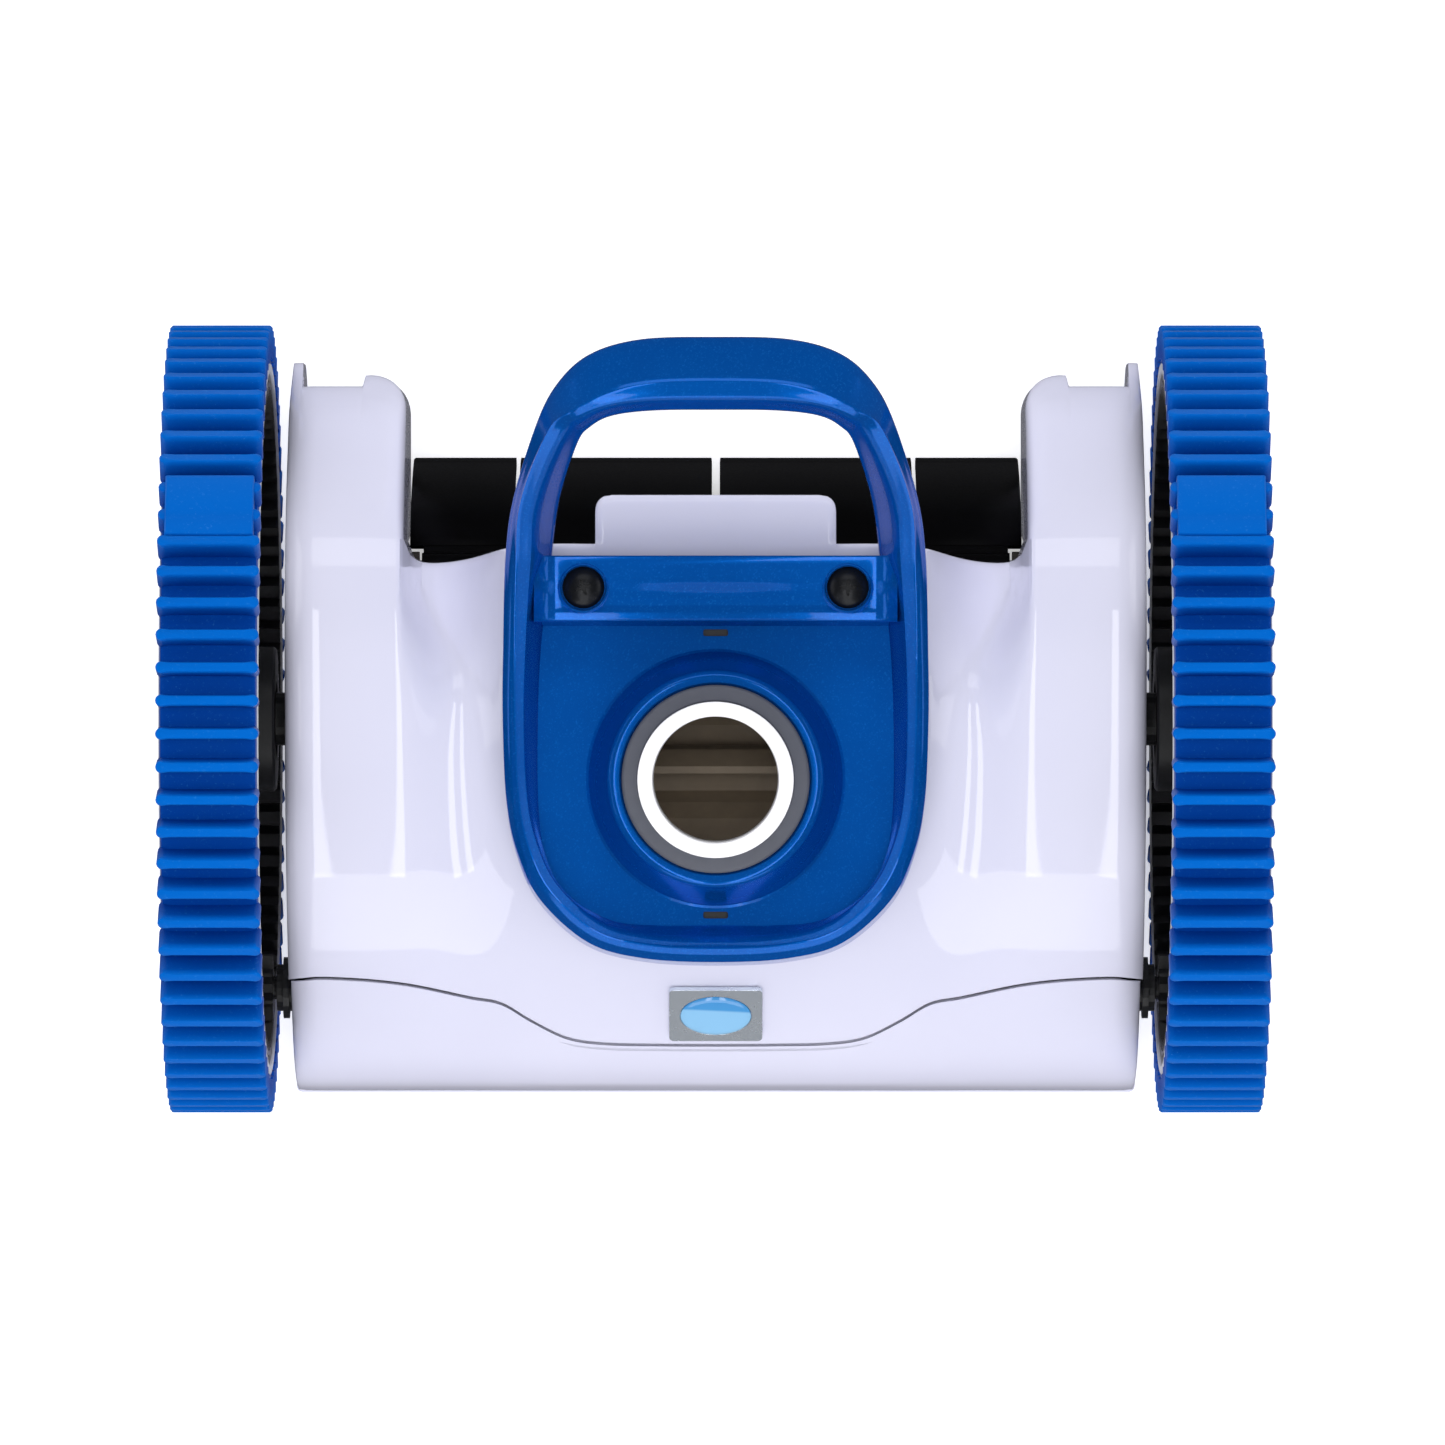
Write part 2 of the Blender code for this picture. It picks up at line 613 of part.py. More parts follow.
def frame_distance(x, y):
    """About how far a point lies outside the top frame's outline."""
    half = 71.7 * MM
    if y > 0:
        return x - half
    reach = 83.4 * MM
    share = ((x / half) ** 2.6 + (-y / reach) ** 2.6) ** (1 / 2.6)
    return (share - 1.0) * half if share > 0 else -half


def hood_height(x, y):
    """Height of the white body's outer surface above the floor."""
    x = abs(x)
    valley = along(VALLEY_LINE, y)
    lobe = along(LOBE_LINE, y)
    rear = smooth_step((y + 10.0 * MM) / (60.0 * MM))
    spread = (40.0 - 33.0 * rear) * MM
    share = smooth_step((x - LOBE_INNER_X - 1.5 * MM + spread) / spread)
    height = valley + (lobe - valley) * share
    deck = along(DECK_LINE, y)
    reach = (30.0 - 4.0 * rear) * MM
    away = frame_distance(x, y) / reach
    if away < 1.0:
        rise = (1.0 - max(0.0, away)) ** 2
        height = height + (deck - height) * rise
    return height


def side_drop(x):
    """How far the surface has rolled down near the body's side."""
    over = abs(x) - (BODY_HALF_WIDTH - EDGE_ROLL)
    if over <= 0:
        return 0.0
    over = min(over, EDGE_ROLL)
    return EDGE_ROLL - math.sqrt(EDGE_ROLL ** 2 - over ** 2)


def rear_edge(x):
    """Where the surface ends at the rear, beyond the valley's edge."""
    if x <= TAB_HALF_WIDTH + 0.01 * MM:
        corner = 8.0 * MM
        over = max(0.0, x - (TAB_HALF_WIDTH - corner))
        return TAB_REAR_Y - corner + math.sqrt(max(0.0, corner ** 2 - over ** 2))
    corner = 12.5 * MM
    over = max(0.0, LOBE_INNER_X + corner - x)
    return LOBE_REAR_Y - corner + math.sqrt(max(0.0, corner ** 2 - over ** 2))


def hood_columns():
    """Places across the right half, closest together where the shape turns."""
    tab = [0.0, 14.0 * MM, 28.0 * MM, 37.0 * MM, 41.5 * MM, TAB_HALF_WIDTH]
    valley = [57.0 * MM, 71.0 * MM, 78.0 * MM, 87.0 * MM, 95.0 * MM, 100.0 * MM, 103.0 * MM,
              LOBE_INNER_X]
    lobe = [107.8 * MM, 112.5 * MM, 118.4 * MM, 127.0 * MM, 135.5 * MM]
    roll = [BODY_HALF_WIDTH - EDGE_ROLL * (1 - math.sin(math.radians(a))) for a in (30, 60, 90)]
    columns = tab + valley + lobe + roll
    return columns, len(tab) - 1, len(tab) + len(valley) - 1


def wall_shift(x):
    """How far a shell's inner surface stands to the side of its outer one."""
    wall = SHELL_WALL / MM
    return along(((0, 0), (60, -0.5 * wall), (80, -wall), (92, 0), (100, wall),
                  (LOBE_INNER_X / MM + 4, wall), (BODY_HALF_WIDTH / MM, -wall)), x)


def half_solid(grid, cells):
    """Right half of a solid, open at the middle plane. grid gives each corner
    (x, y, top, bottom) and cells lists the corners that bear material."""
    bm = bmesh.new()
    tops = {}
    floors = {}
    for i, j in cells:
        for key in ((i, j), (i + 1, j), (i + 1, j + 1), (i, j + 1)):
            if key not in tops:
                x, y, top, bottom = grid[key]
                tops[key] = bm.verts.new((x, y, top))
                floors[key] = bm.verts.new((x, y, bottom))
    for i, j in cells:
        ring = ((i, j), (i + 1, j), (i + 1, j + 1), (i, j + 1))
        bm.faces.new([tops[key] for key in ring])
        bm.faces.new([floors[key] for key in reversed(ring)])
        sides = (((i, j - 1), ring[0], ring[1]), ((i + 1, j), ring[1], ring[2]),
                 ((i, j + 1), ring[2], ring[3]), ((i - 1, j), ring[3], ring[0]))
        for neighbour, first, second in sides:
            at_middle = first[0] == 0 and second[0] == 0
            if neighbour not in cells and not at_middle:
                bm.faces.new((tops[second], tops[first], floors[first], floors[second]))
    mesh = bpy.data.meshes.new("half_solid")
    bm.to_mesh(mesh)
    bm.free()
    return mesh


def mirrored(obj):
    mirror = obj.modifiers.new("mirror", "MIRROR")
    mirror.use_axis = (True, False, False)
    mirror.use_mirror_merge = True
    mirror.merge_threshold = 0.00001


def build_shell(name, outer, inner, cells, material):
    shell = add_part(name, half_solid(outer, cells), material)
    mirrored(shell)
    core = bpy.data.objects.new("core_" + name, half_solid(inner, cells))
    CUTTERS.objects.link(core)
    mirrored(core)
    core.hide_render = True
    core.display_type = "WIRE"
    step = shell.modifiers.new("hollow", "BOOLEAN")
    step.operation = "DIFFERENCE"
    step.object = core
    step.solver = "EXACT"
    return shell


def build_body():
    columns, tab_end, valley_end = hood_columns()
    front_rows = 8
    rear_rows = 3
    last = front_rows + rear_rows
    outer = {}
    inner = {}
    for i, x in enumerate(columns):
        start = along(PARTING_LINE, x) + PARTING_GAP / 2
        edge = along(VALLEY_REAR, min(x, LOBE_INNER_X))
        end = rear_edge(x)
        for j in range(last + 1):
            if j <= front_rows:
                y = start + (edge - start) * j / front_rows
            else:
                y = edge + (end - edge) * (j - front_rows) / rear_rows
            top = hood_height(x, y) - side_drop(x)
            lobe = i > valley_end or (i == valley_end and j > front_rows)
            bottom = LOBE_BOTTOM if lobe else VALLEY_BOTTOM
            outer[i, j] = (x, y, top, bottom)
            reach = edge if tab_end < i < valley_end else end
            back = SHELL_WALL * (y - start) / (reach - start)
            if j == front_rows and i == valley_end:
                back = SHELL_WALL
            inner_y = y - back if j else y - 3.0 * MM
            inner_x = x + wall_shift(x)
            if j >= front_rows and i <= tab_end:
                inner_x = x * (1.0 - SHELL_WALL / TAB_HALF_WIDTH)
            inner[i, j] = (inner_x, inner_y, top - SHELL_WALL, bottom - 10.0 * MM)
    cells = {(i, j) for i in range(len(columns) - 1) for j in range(last)
             if j < front_rows or i < tab_end or i >= valley_end}
    body = build_shell("upper_body", outer, inner, cells, WHITE)
    throat = BORE_RADIUS + 6.0 * MM + HOUSING_WALL + 2.0 * MM
    cut(body, rod_mesh(throat, 60.0 * MM, 28), upright_at(0, SWIVEL_Y, DECK_TOP))
    for sign in (-1.0, 1.0):
        wall_x = sign * (BODY_HALF_WIDTH - SHELL_WALL)
        cut(body, rod_mesh(AXLE_HOLE, 14.0 * MM, 18), across_at(wall_x, 0, AXLE_Z))
        cut(body, rod_mesh(8.0 * MM + FIT_GAP, 14.0 * MM, 20),
            across_at(wall_x, PINION_Y, PINION_Z))

    skirt_rows = 2
    outer = {}
    inner = {}
    for i, x in enumerate(columns):
        end = along(PARTING_LINE, x) - PARTING_GAP / 2
        for j in range(skirt_rows + 1):
            y = FRONT_Y + (end - FRONT_Y) * j / skirt_rows
            top = hood_height(x, y) - side_drop(x)
            outer[i, j] = (x, y, top, FRONT_BOTTOM)
            forward = SHELL_WALL * (1.0 - j / skirt_rows)
            inner_y = y + forward if j < skirt_rows else y + 3.0 * MM
            inner[i, j] = (x + wall_shift(x), inner_y, top - SHELL_WALL, FRONT_BOTTOM - 10.0 * MM)
    cells = {(i, j) for i in range(len(columns) - 1) for j in range(skirt_rows)}
    skirt = build_shell("front_skirt", outer, inner, cells, WHITE)
    for sign in (-1.0, 1.0):
        wall_x = sign * (BODY_HALF_WIDTH - SHELL_WALL)
        cut(skirt, rod_mesh(8.0 * MM + FIT_GAP, 14.0 * MM, 20),
            across_at(wall_x, PINION_Y, PINION_Z))

    # Badge on the front of the hood, tilted with it.
    badge_y = -98.3 * MM
    slope = math.atan2(hood_height(0, badge_y + 5 * MM) - hood_height(0, badge_y - 5 * MM),
                       10.0 * MM)
    tilt = Matrix.Rotation(slope, 4, "X")
    stretch = 1.0 / math.cos(slope)
    base = Matrix.Translation((0, badge_y, hood_height(0, badge_y))) @ tilt
    bezel_size = (31.7 * MM, 17.7 * MM * stretch)
    lens_size = (24.0 * MM, 13.0 * MM * stretch)
    wide, deep = bezel_size[0] / 2, bezel_size[1] / 2
    ellipse = [(lens_size[0] / 2 * math.cos(TURN * k / 32), lens_size[1] / 2 * math.sin(TURN * k / 32))
               for k in range(32)]
    hole = [(x * 1.03, y * 1.03) for x, y in ellipse]
    raise_bezel = Matrix.Translation((0, 0, 2.2 * MM))
    add_part("badge_bezel", flat_mesh([rounded_box(-wide, -deep, wide, deep, 2.0 * MM), hole],
                                      1.6 * MM), BADGE_SILVER, base @ raise_bezel)
    add_part("badge_emblem", flat_mesh([ellipse], 2.0 * MM), BADGE_BLUE, base @ raise_bezel)


def build_pan():
    """The lower body: a flat pan with ears for the flaps' hinge pins."""
    side = SIDE_PLATE_X + 8.0 * MM
    arm = LOBE_INNER_X + 5.0 * MM
    front = FRONT_HINGE[0] + 10.0 * MM
    rear = 40.0 * MM
    arm_rear = LOBE_REAR_Y - 8.0 * MM
    outline = [(-side, front), (side, front), (side, arm_rear), (arm, arm_rear), (arm, rear),
               (-arm, rear), (-arm, arm_rear), (-side, arm_rear)]
    gap = HOUSING_WALL + FIT_GAP
    half_w = THROAT_WIDTH / 2 + gap
    half_l = THROAT_LENGTH / 2 + gap
    opening = rounded_box(-half_w, TURBINE_Y - half_l, half_w, TURBINE_Y + half_l, 0.4 * MM, 1)
    screws = [circle(2.3 * MM, (sx * SKID_X, y), 12)
              for sx in (-1, 1) for y in (-70.0 * MM, 25.0 * MM)]
    pan = add_part("lower_body", flat_mesh([outline, opening] + screws, PAN_WALL), DARK,
                   upright_at(0, 0, PAN_TOP - PAN_WALL / 2))
    hinge_y, hinge_z = REAR_HINGE
    ear_wall = 3.0 * MM
    ear_depth = 9.0 * MM
    height = hinge_z - PAN_TOP + 2.0 * MM
    for x in rear_ears():
        join(pan, block_mesh((ear_wall, ear_depth, height)),
             upright_at(x, hinge_y - ear_depth / 2, hinge_z - height / 2))
        join(pan, rod_mesh(EAR_RADIUS, ear_wall + 0.02 * MM, 12), across_at(x, hinge_y, hinge_z))
    shelf = block_mesh((2 * rear_ears()[-1], 9.0 * MM, 3.0 * MM))
    join(pan, shelf, upright_at(0, hinge_y - 10.0 * MM, PAN_TOP - 1.0 * MM))
    cut(pan, rod_mesh(PIN_RADIUS + FIT_GAP, 0.3, 8), across_at(0, hinge_y, hinge_z))
    hinge_y, hinge_z = FRONT_HINGE
    for x in front_ears():
        join(pan, block_mesh((ear_wall, 16.0 * MM, 14.0 * MM)),
             upright_at(x, hinge_y + 2.5 * MM, hinge_z - 1.0 * MM))
    cut(pan, rod_mesh(PIN_RADIUS + FIT_GAP, 0.3, 8), across_at(0, hinge_y, hinge_z))

    # Skid runners under the pan, each held by two screws.
    for side_name, sign in (("left", -1.0), ("right", 1.0)):
        runner = [(-80.0 * MM, 0.0), (36.0 * MM, 0.0), (44.0 * MM, 8.0 * MM),
                  (44.0 * MM, PAN_TOP - PAN_WALL - FIT_GAP),
                  (-88.0 * MM, PAN_TOP - PAN_WALL - FIT_GAP), (-88.0 * MM, 8.0 * MM)]
        skid = add_part("skid_" + side_name, flat_mesh([runner], 12.0 * MM), BLACK,
                        across_at(sign * SKID_X))
        for place_name, y in (("front", -70.0 * MM), ("rear", 25.0 * MM)):
            cut(skid, rod_mesh(2.3 * MM, 60.0 * MM, 12), upright_at(sign * SKID_X, y, 0.0))
            cut(skid, rod_mesh(4.6 * MM, 12.0 * MM, 12), upright_at(sign * SKID_X, y, 2.0 * MM))
            screw = [(0, PAN_TOP + 3.0 * MM), (2.0 * MM, PAN_TOP + 3.0 * MM), (2.0 * MM, 7.6 * MM),
                     (4.2 * MM, 7.6 * MM), (4.2 * MM, 5.0 * MM), (0, 5.0 * MM)]
            add_part("skid_screw_%s_%s" % (side_name, place_name), turned_mesh(screw, 12, False),
                     STEEL, upright_at(sign * SKID_X, y))


def rear_ears():
    edge = LOBE_INNER_X - 2.2 * MM
    return [-edge, -FLAP_SPLIT_X, -2.0 * MM, 2.0 * MM, FLAP_SPLIT_X, edge]


def front_ears():
    edge = BODY_HALF_WIDTH - 14.0 * MM
    return [-edge, -2.0 * MM, 2.0 * MM, edge]


# --------------------------------------------------------------------- flaps

def flap_mesh(line, length):
    """A curved leaf with a constant wall, drawn from its hinge to its tip."""
    left, right = [], []
    for k, (y, z) in enumerate(line):
        y0, z0 = line[max(0, k - 1)]
        y1, z1 = line[min(len(line) - 1, k + 1)]
        size = math.hypot(y1 - y0, z1 - z0)
        ny, nz = -(z1 - z0) / size, (y1 - y0) / size
        half = FLAP_WALL / 2
        left.append((y + ny * half, z + nz * half))
        right.append((y - ny * half, z - nz * half))
    return flat_mesh([left + right[::-1]], length)


def build_flap(name, hinge, line, x0, x1, knuckle0, knuckle1):
    y, z = hinge
    axis = joint_centre(name + "_axis", (x0 + x1) / 2, y, z)
    middle = (x0 + x1) / 2
    flap = add_part(name, flap_mesh(line, x1 - x0), BLACK, across_at(middle, y, z), axis)
    knuckle_x = (knuckle0 + knuckle1) / 2
    join(flap, rod_mesh(KNUCKLE_RADIUS, knuckle1 - knuckle0, 16), across_at(knuckle_x, y, z))
    y0, z0 = line[0]
    y1, z1 = line[1]
    root = flap_mesh([(0.0, 0.0), (y0 + 0.3 * (y1 - y0), z0 + 0.3 * (z1 - z0))],
                     knuckle1 - knuckle0 - 1.0 * MM)
    join(flap, root, across_at(knuckle_x, y, z))
    cut(flap, rod_mesh(PIN_RADIUS + RUNNING_GAP, x1 - x0 + 10.0 * MM, 10),
        across_at(middle, y, z))


def build_flaps():
    rear_line = [(6.2 * MM, -3.4 * MM), (10.0 * MM, -5.6 * MM), (18.0 * MM, -13.0 * MM),
                 (25.0 * MM, -25.0 * MM), (31.0 * MM, -40.0 * MM), (37.0 * MM, -60.0 * MM)]
    front_line = [(0.4 * MM, -5.8 * MM), (1.0 * MM, -12.0 * MM), (4.0 * MM, -26.0 * MM)]
    ears = rear_ears()
    clear = 2.3 * MM
    edge = LOBE_INNER_X - 1.0 * MM
    spans = (("rear_flap_inner", FLAP_GAP, FLAP_SPLIT_X - 0.8 * MM, ears[3], ears[4]),
             ("rear_flap_outer", FLAP_SPLIT_X + 0.8 * MM, edge, ears[4], ears[5]))
    for name, low, high, ear_low, ear_high in spans:
        for side, sign in (("left", -1.0), ("right", 1.0)):
            spots = sorted((sign * low, sign * high))
            knuckles = sorted((sign * (ear_low + clear), sign * (ear_high - clear)))
            build_flap(name + "_" + side, REAR_HINGE, rear_line, *spots, *knuckles)
    ears = front_ears()
    for side, sign in (("left", -1.0), ("right", 1.0)):
        spots = sorted((sign * (ears[2] + clear), sign * (ears[3] - clear)))
        build_flap("front_flap_" + side, FRONT_HINGE, front_line, *spots, *spots)
    for side, sign in (("left", -1.0), ("right", 1.0)):
        ears = rear_ears()
        inner, outer = 0.6 * MM, ears[5] + 1.5 * MM
        add_part("rear_hinge_pin_" + side, rod_mesh(PIN_RADIUS, outer - inner, 12), STEEL,
                 across_at(sign * (inner + outer) / 2, *REAR_HINGE))
        outer = front_ears()[3] + 2.5 * MM
        add_part("front_hinge_pin_" + side, rod_mesh(PIN_RADIUS, outer - inner, 12), STEEL,
                 across_at(sign * (inner + outer) / 2, *FRONT_HINGE))


# ----------------------------------------------------------------- top frame

RIM_LINE = ((-83.4, 181), (-60, 187), (-30, 191), (10, 196), (45, 205), (70, 218), (95, 233),
            (115, 242), (126.6, 246))
SILL_LINE = ((50, 168.4), (62, 176), (80, 195),
             (100, 217), (115, 227), (126.6, 231))


def frame_path():
    """Half of the frame's outer outline as (x, y), from front to rear."""
    spots = [(x * MM, y * MM) for y, x in FRAME_LINE]
    spots.append((0.0, spots[-1][1]))
    path = []
    for i in range(len(spots) - 1):
        p0 = spots[i - 1] if i > 0 else (-spots[1][0], spots[1][1])
        p1, p2 = spots[i], spots[i + 1]
        p3 = spots[i + 2] if i + 2 < len(spots) else (-spots[-2][0], spots[-2][1])
        steps = 2 if abs(p2[1] - p1[1]) > 20.0 * MM else 1
        for k in range(steps):
            t = k / steps
            point = []
            for a, b, c, d in zip(p0, p1, p2, p3):
                point.append(0.5 * (2 * b + (c - a) * t + (2 * a - 5 * b + 4 * c - d) * t * t
                                    + (3 * b - a - 3 * c + d) * t ** 3))
            path.append(tuple(point))
    path.append(spots[-1])
    return path


def sill_height(x, y):
    """Lower edge of the frame's wall: on the body, then rising as a bare arm."""
    if y > 62.0 * MM:
        return along(SILL_LINE, y)
    seated = hood_height(x, y) + SILL_GAP
    return seated if y < 50.0 * MM else max(seated, along(SILL_LINE, y))


def wall_depth(y):
    """Plan width of the frame's wall: thin round the basin, thick at the handle."""
    return along(((-83.4, 13), (-60, 12.5), (0, 12.0), (54, 14.5), (75, 16), (95, 18),
                  (126.6, 21)), y)


def build_frame():
    path = frame_path()
    full = path + [(-x, y) for x, y in path[-2:0:-1]]
    count = len(full)
    bm = bmesh.new()
    rings = []
    for k in range(count):
        x, y = full[k]
        x0, y0 = full[k - 1]
        x1, y1 = full[(k + 1) % count]
        size = math.hypot(x1 - x0, y1 - y0)
        nx, ny = (y1 - y0) / size, -(x1 - x0) / size
        rim = along(RIM_LINE, y)
        sill = sill_height(x, y)
        sill_in = sill_height(x - nx * 2.6 * MM, y - ny * 2.6 * MM)
        depth = wall_depth(y)
        lean = RIM_WIDTH * 0.9
        hollow = smooth_step((50.0 * MM - y) / (20.0 * MM))
        bottom_in = sill + hollow * max(0.0, FLOOR_TOP - FLOOR_WALL - 0.6 * MM - sill)
        section = ((0.0, sill), (lean - 1.0 * MM, rim - 1.5 * MM),
                   (lean + 0.6 * MM, rim), (lean + RIM_WIDTH, rim),
                   (depth, bottom_in + 0.25 * (rim - bottom_in)), (depth, bottom_in),
                   (3.0 * MM, max(bottom_in, sill_in)), (2.6 * MM, sill_in))
        ring = [bm.verts.new((x - nx * inset, y - ny * inset, z)) for inset, z in section]
        rings.append(ring)
    for k in range(count):
        a, b = rings[k], rings[(k + 1) % count]
        for i in range(len(a)):
            j = (i + 1) % len(a)
            bm.faces.new((a[i], b[i], b[j], a[j]))
    bmesh.ops.recalc_face_normals(bm, faces=bm.faces)
    mesh = bpy.data.meshes.new("frame_band")
    bm.to_mesh(mesh)
    bm.free()
    frame = add_part("swivel_frame", mesh, FRAME_BLUE)

    # Basin floor with its drain slots, cross ledge and swivel boss.
    half = 63.0 * MM
    bore = CUFF_RADIUS + RUNNING_GAP + 0.4 * MM
    middle_radius = (bore + BOSS_BASE_RADIUS) / 2
    slots = [rounded_box(-4.2 * MM, y - 1.15 * MM, 4.2 * MM, y + 1.15 * MM, 0.5 * MM, 2)
             for y in (29.0 * MM, -66.0 * MM)]
    outline = rounded_box(-half, -74.0 * MM, half, LEDGE_FRONT + 6.0 * MM, 34.0 * MM, 4)
    floor = flat_mesh([outline, circle(middle_radius, (0.0, SWIVEL_Y), 24)] + slots, FLOOR_WALL)
    join(frame, floor, upright_at(0, 0, FLOOR_TOP - FLOOR_WALL / 2))
    ledge = [(LEDGE_FRONT, FLOOR_TOP - 1.0 * MM), (LEDGE_REAR, FLOOR_TOP - 1.0 * MM),
             (LEDGE_REAR, LEDGE_TOP), (LEDGE_REAR - 4.0 * MM, LEDGE_TOP - 1.4 * MM),
             (LEDGE_FRONT + 9.0 * MM, LEDGE_TOP - 2.2 * MM),
             (LEDGE_FRONT + 4.0 * MM, LEDGE_TOP - 0.6 * MM),
             (LEDGE_FRONT + 1.0 * MM, LEDGE_TOP - 2.0 * MM)]
    join(frame, flat_mesh([ledge], 122.0 * MM), across_at(0))
    recess = COLLAR_RADIUS + RUNNING_GAP
    seat_z = BOSS_TOP - COLLAR_SEAT
    boss_foot = FLOOR_TOP - FLOOR_WALL - 0.4 * MM
    boss = [(BOSS_RIM_RADIUS, BOSS_TOP), (BOSS_RIM_RADIUS + 1.6 * MM, BOSS_TOP - 1.8 * MM),
            (BOSS_BASE_RADIUS, FLOOR_TOP - 0.5 * MM), (BOSS_BASE_RADIUS, boss_foot),
            (bore, boss_foot), (bore, seat_z), (recess, seat_z), (recess, BOSS_TOP)]
    join(frame, turned_mesh(boss, 32), upright_at(0, SWIVEL_Y))
    for side, sign in (("left", -1.0), ("right", 1.0)):
        seat = LEDGE_TOP - 3.0 * MM
        cut(frame, rod_mesh(SCREW_HEAD + 1.0 * MM, 12.0 * MM, 20),
            upright_at(sign * SCREW_X, SCREW_Y, seat + 6.0 * MM))
        cut(frame, rod_mesh(2.6 * MM, 60.0 * MM, 16),
            upright_at(sign * SCREW_X, SCREW_Y, seat))
        head = seat + FIT_GAP
        screw = [(0, head + 3.4 * MM), (3.5 * MM, head + 3.1 * MM), (6.0 * MM, head + 2.1 * MM),
                 (SCREW_HEAD, head + 0.6 * MM), (SCREW_HEAD, head), (2.2 * MM, head),
                 (2.2 * MM, FLOOR_TOP - FLOOR_WALL), (0, FLOOR_TOP - FLOOR_WALL)]
        screw_obj = add_part("frame_screw_" + side, turned_mesh(screw, 16, False), SCREW_BLACK,
                             upright_at(sign * SCREW_X, SCREW_Y))
        turn = math.radians(22.0) if sign < 0 else 0.0
        for quarter in (0.0, math.pi / 2):
            spin = Matrix.Rotation(turn + quarter, 4, "Z")
            cut(screw_obj, block_mesh((7.0 * MM, 1.5 * MM, 4.0 * MM)),
                upright_at(sign * SCREW_X, SCREW_Y, head + 3.4 * MM) @ spin)


def build_swivel():
    axis = joint_centre("hose_swivel_axis", 0.0, SWIVEL_Y, BOSS_TOP)
    flange_top = FLOOR_TOP - FLOOR_WALL - 1.0 * MM
    cuff = [(CUFF_RADIUS - 0.5 * MM, CUFF_TOP), (CUFF_RADIUS, CUFF_TOP - 0.5 * MM),
            (CUFF_RADIUS, flange_top), (CUFF_RADIUS + 3.0 * MM, flange_top),
            (CUFF_RADIUS + 3.0 * MM, flange_top - 3.0 * MM),
            (BORE_RADIUS, flange_top - 3.0 * MM), (BORE_RADIUS, CUFF_TOP - 0.5 * MM),
            (BORE_RADIUS + 0.5 * MM, CUFF_TOP)]
    add_part("hose_cuff", turned_mesh(cuff, 32), WHITE, upright_at(0, SWIVEL_Y), axis)
    seat = BOSS_TOP - COLLAR_SEAT + RUNNING_GAP
    inner = CUFF_RADIUS + FIT_GAP
    collar = [(COLLAR_RADIUS - 1.5 * MM, BOSS_TOP + 5.0 * MM), (COLLAR_RADIUS, BOSS_TOP + 3.5 * MM),
              (COLLAR_RADIUS, seat), (inner, seat), (inner, BOSS_TOP + 5.0 * MM)]
    add_part("swivel_collar", turned_mesh(collar, 32), GREY, upright_at(0, SWIVEL_Y), axis)


for wheel_side, wheel_sign in (("left", -1.0), ("right", 1.0)):
    build_wheel(wheel_side, wheel_sign)
    train_x = build_drive(wheel_side, wheel_sign)
build_turbine(train_x)
build_body()
build_pan()
build_flaps()
build_frame()
build_swivel()

for part in PARTS.objects:
    if part.type == "MESH":
        part.data.shade_smooth()
        part.data.set_sharp_from_angle(angle=math.radians(35.0))
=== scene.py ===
import json
import math

import bpy
import bmesh
from mathutils import Matrix, Vector


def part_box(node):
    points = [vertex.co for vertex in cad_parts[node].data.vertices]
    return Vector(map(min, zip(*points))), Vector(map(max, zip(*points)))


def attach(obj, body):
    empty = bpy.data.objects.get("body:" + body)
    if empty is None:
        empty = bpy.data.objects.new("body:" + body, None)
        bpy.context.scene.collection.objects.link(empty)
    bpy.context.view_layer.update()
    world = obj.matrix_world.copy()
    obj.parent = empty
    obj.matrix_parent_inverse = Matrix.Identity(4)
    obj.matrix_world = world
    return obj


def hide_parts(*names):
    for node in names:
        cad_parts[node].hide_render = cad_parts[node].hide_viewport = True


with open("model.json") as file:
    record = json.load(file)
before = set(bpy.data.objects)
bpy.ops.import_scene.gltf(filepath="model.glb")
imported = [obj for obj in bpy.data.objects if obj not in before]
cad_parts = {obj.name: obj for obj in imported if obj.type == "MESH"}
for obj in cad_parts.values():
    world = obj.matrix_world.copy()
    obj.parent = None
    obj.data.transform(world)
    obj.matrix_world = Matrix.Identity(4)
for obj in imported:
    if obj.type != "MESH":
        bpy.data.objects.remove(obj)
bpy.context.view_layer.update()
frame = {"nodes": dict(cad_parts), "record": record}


# ---- Studio ----
# A pale sheet on the ground in a dim white room, under an overhead bank, two
# long strips and side, rear and front banks. A long lens looks straight down.

mm = 0.001
turn = 2.0 * math.pi
axle_z = (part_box("left_tyre")[0][2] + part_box("left_tyre")[1][2]) / 2

view_height = 4400.0 * mm
camera_data = bpy.data.cameras.new("overhead_camera")
camera_data.sensor_width = 36.0
camera_data.lens = 323.0
camera_data.clip_end = 60.0
camera = bpy.data.objects.new("overhead_camera", camera_data)
camera.location = (2.3 * mm, -1.2 * mm, axle_z + view_height)
bpy.context.scene.collection.objects.link(camera)
bpy.context.scene.camera = camera
bpy.context.scene.view_settings.view_transform = "Standard"


def finished(name, bm, to_world=None, faces_out=True):
    """Makes an object of a bmesh, placed, with its faces turned outwards."""
    if to_world is not None:
        bmesh.ops.transform(bm, matrix=to_world, verts=bm.verts)
    if faces_out:
        bmesh.ops.recalc_face_normals(bm, faces=bm.faces)
    mesh = bpy.data.meshes.new(name)
    bm.to_mesh(mesh)
    bm.free()
    piece = bpy.data.objects.new(name, mesh)
    bpy.context.scene.collection.objects.link(piece)
    return piece


ground_bm = bmesh.new()
bmesh.ops.create_grid(ground_bm, x_segments=1, y_segments=1, size=6.0)
ground = finished("ground", ground_bm, faces_out=False)


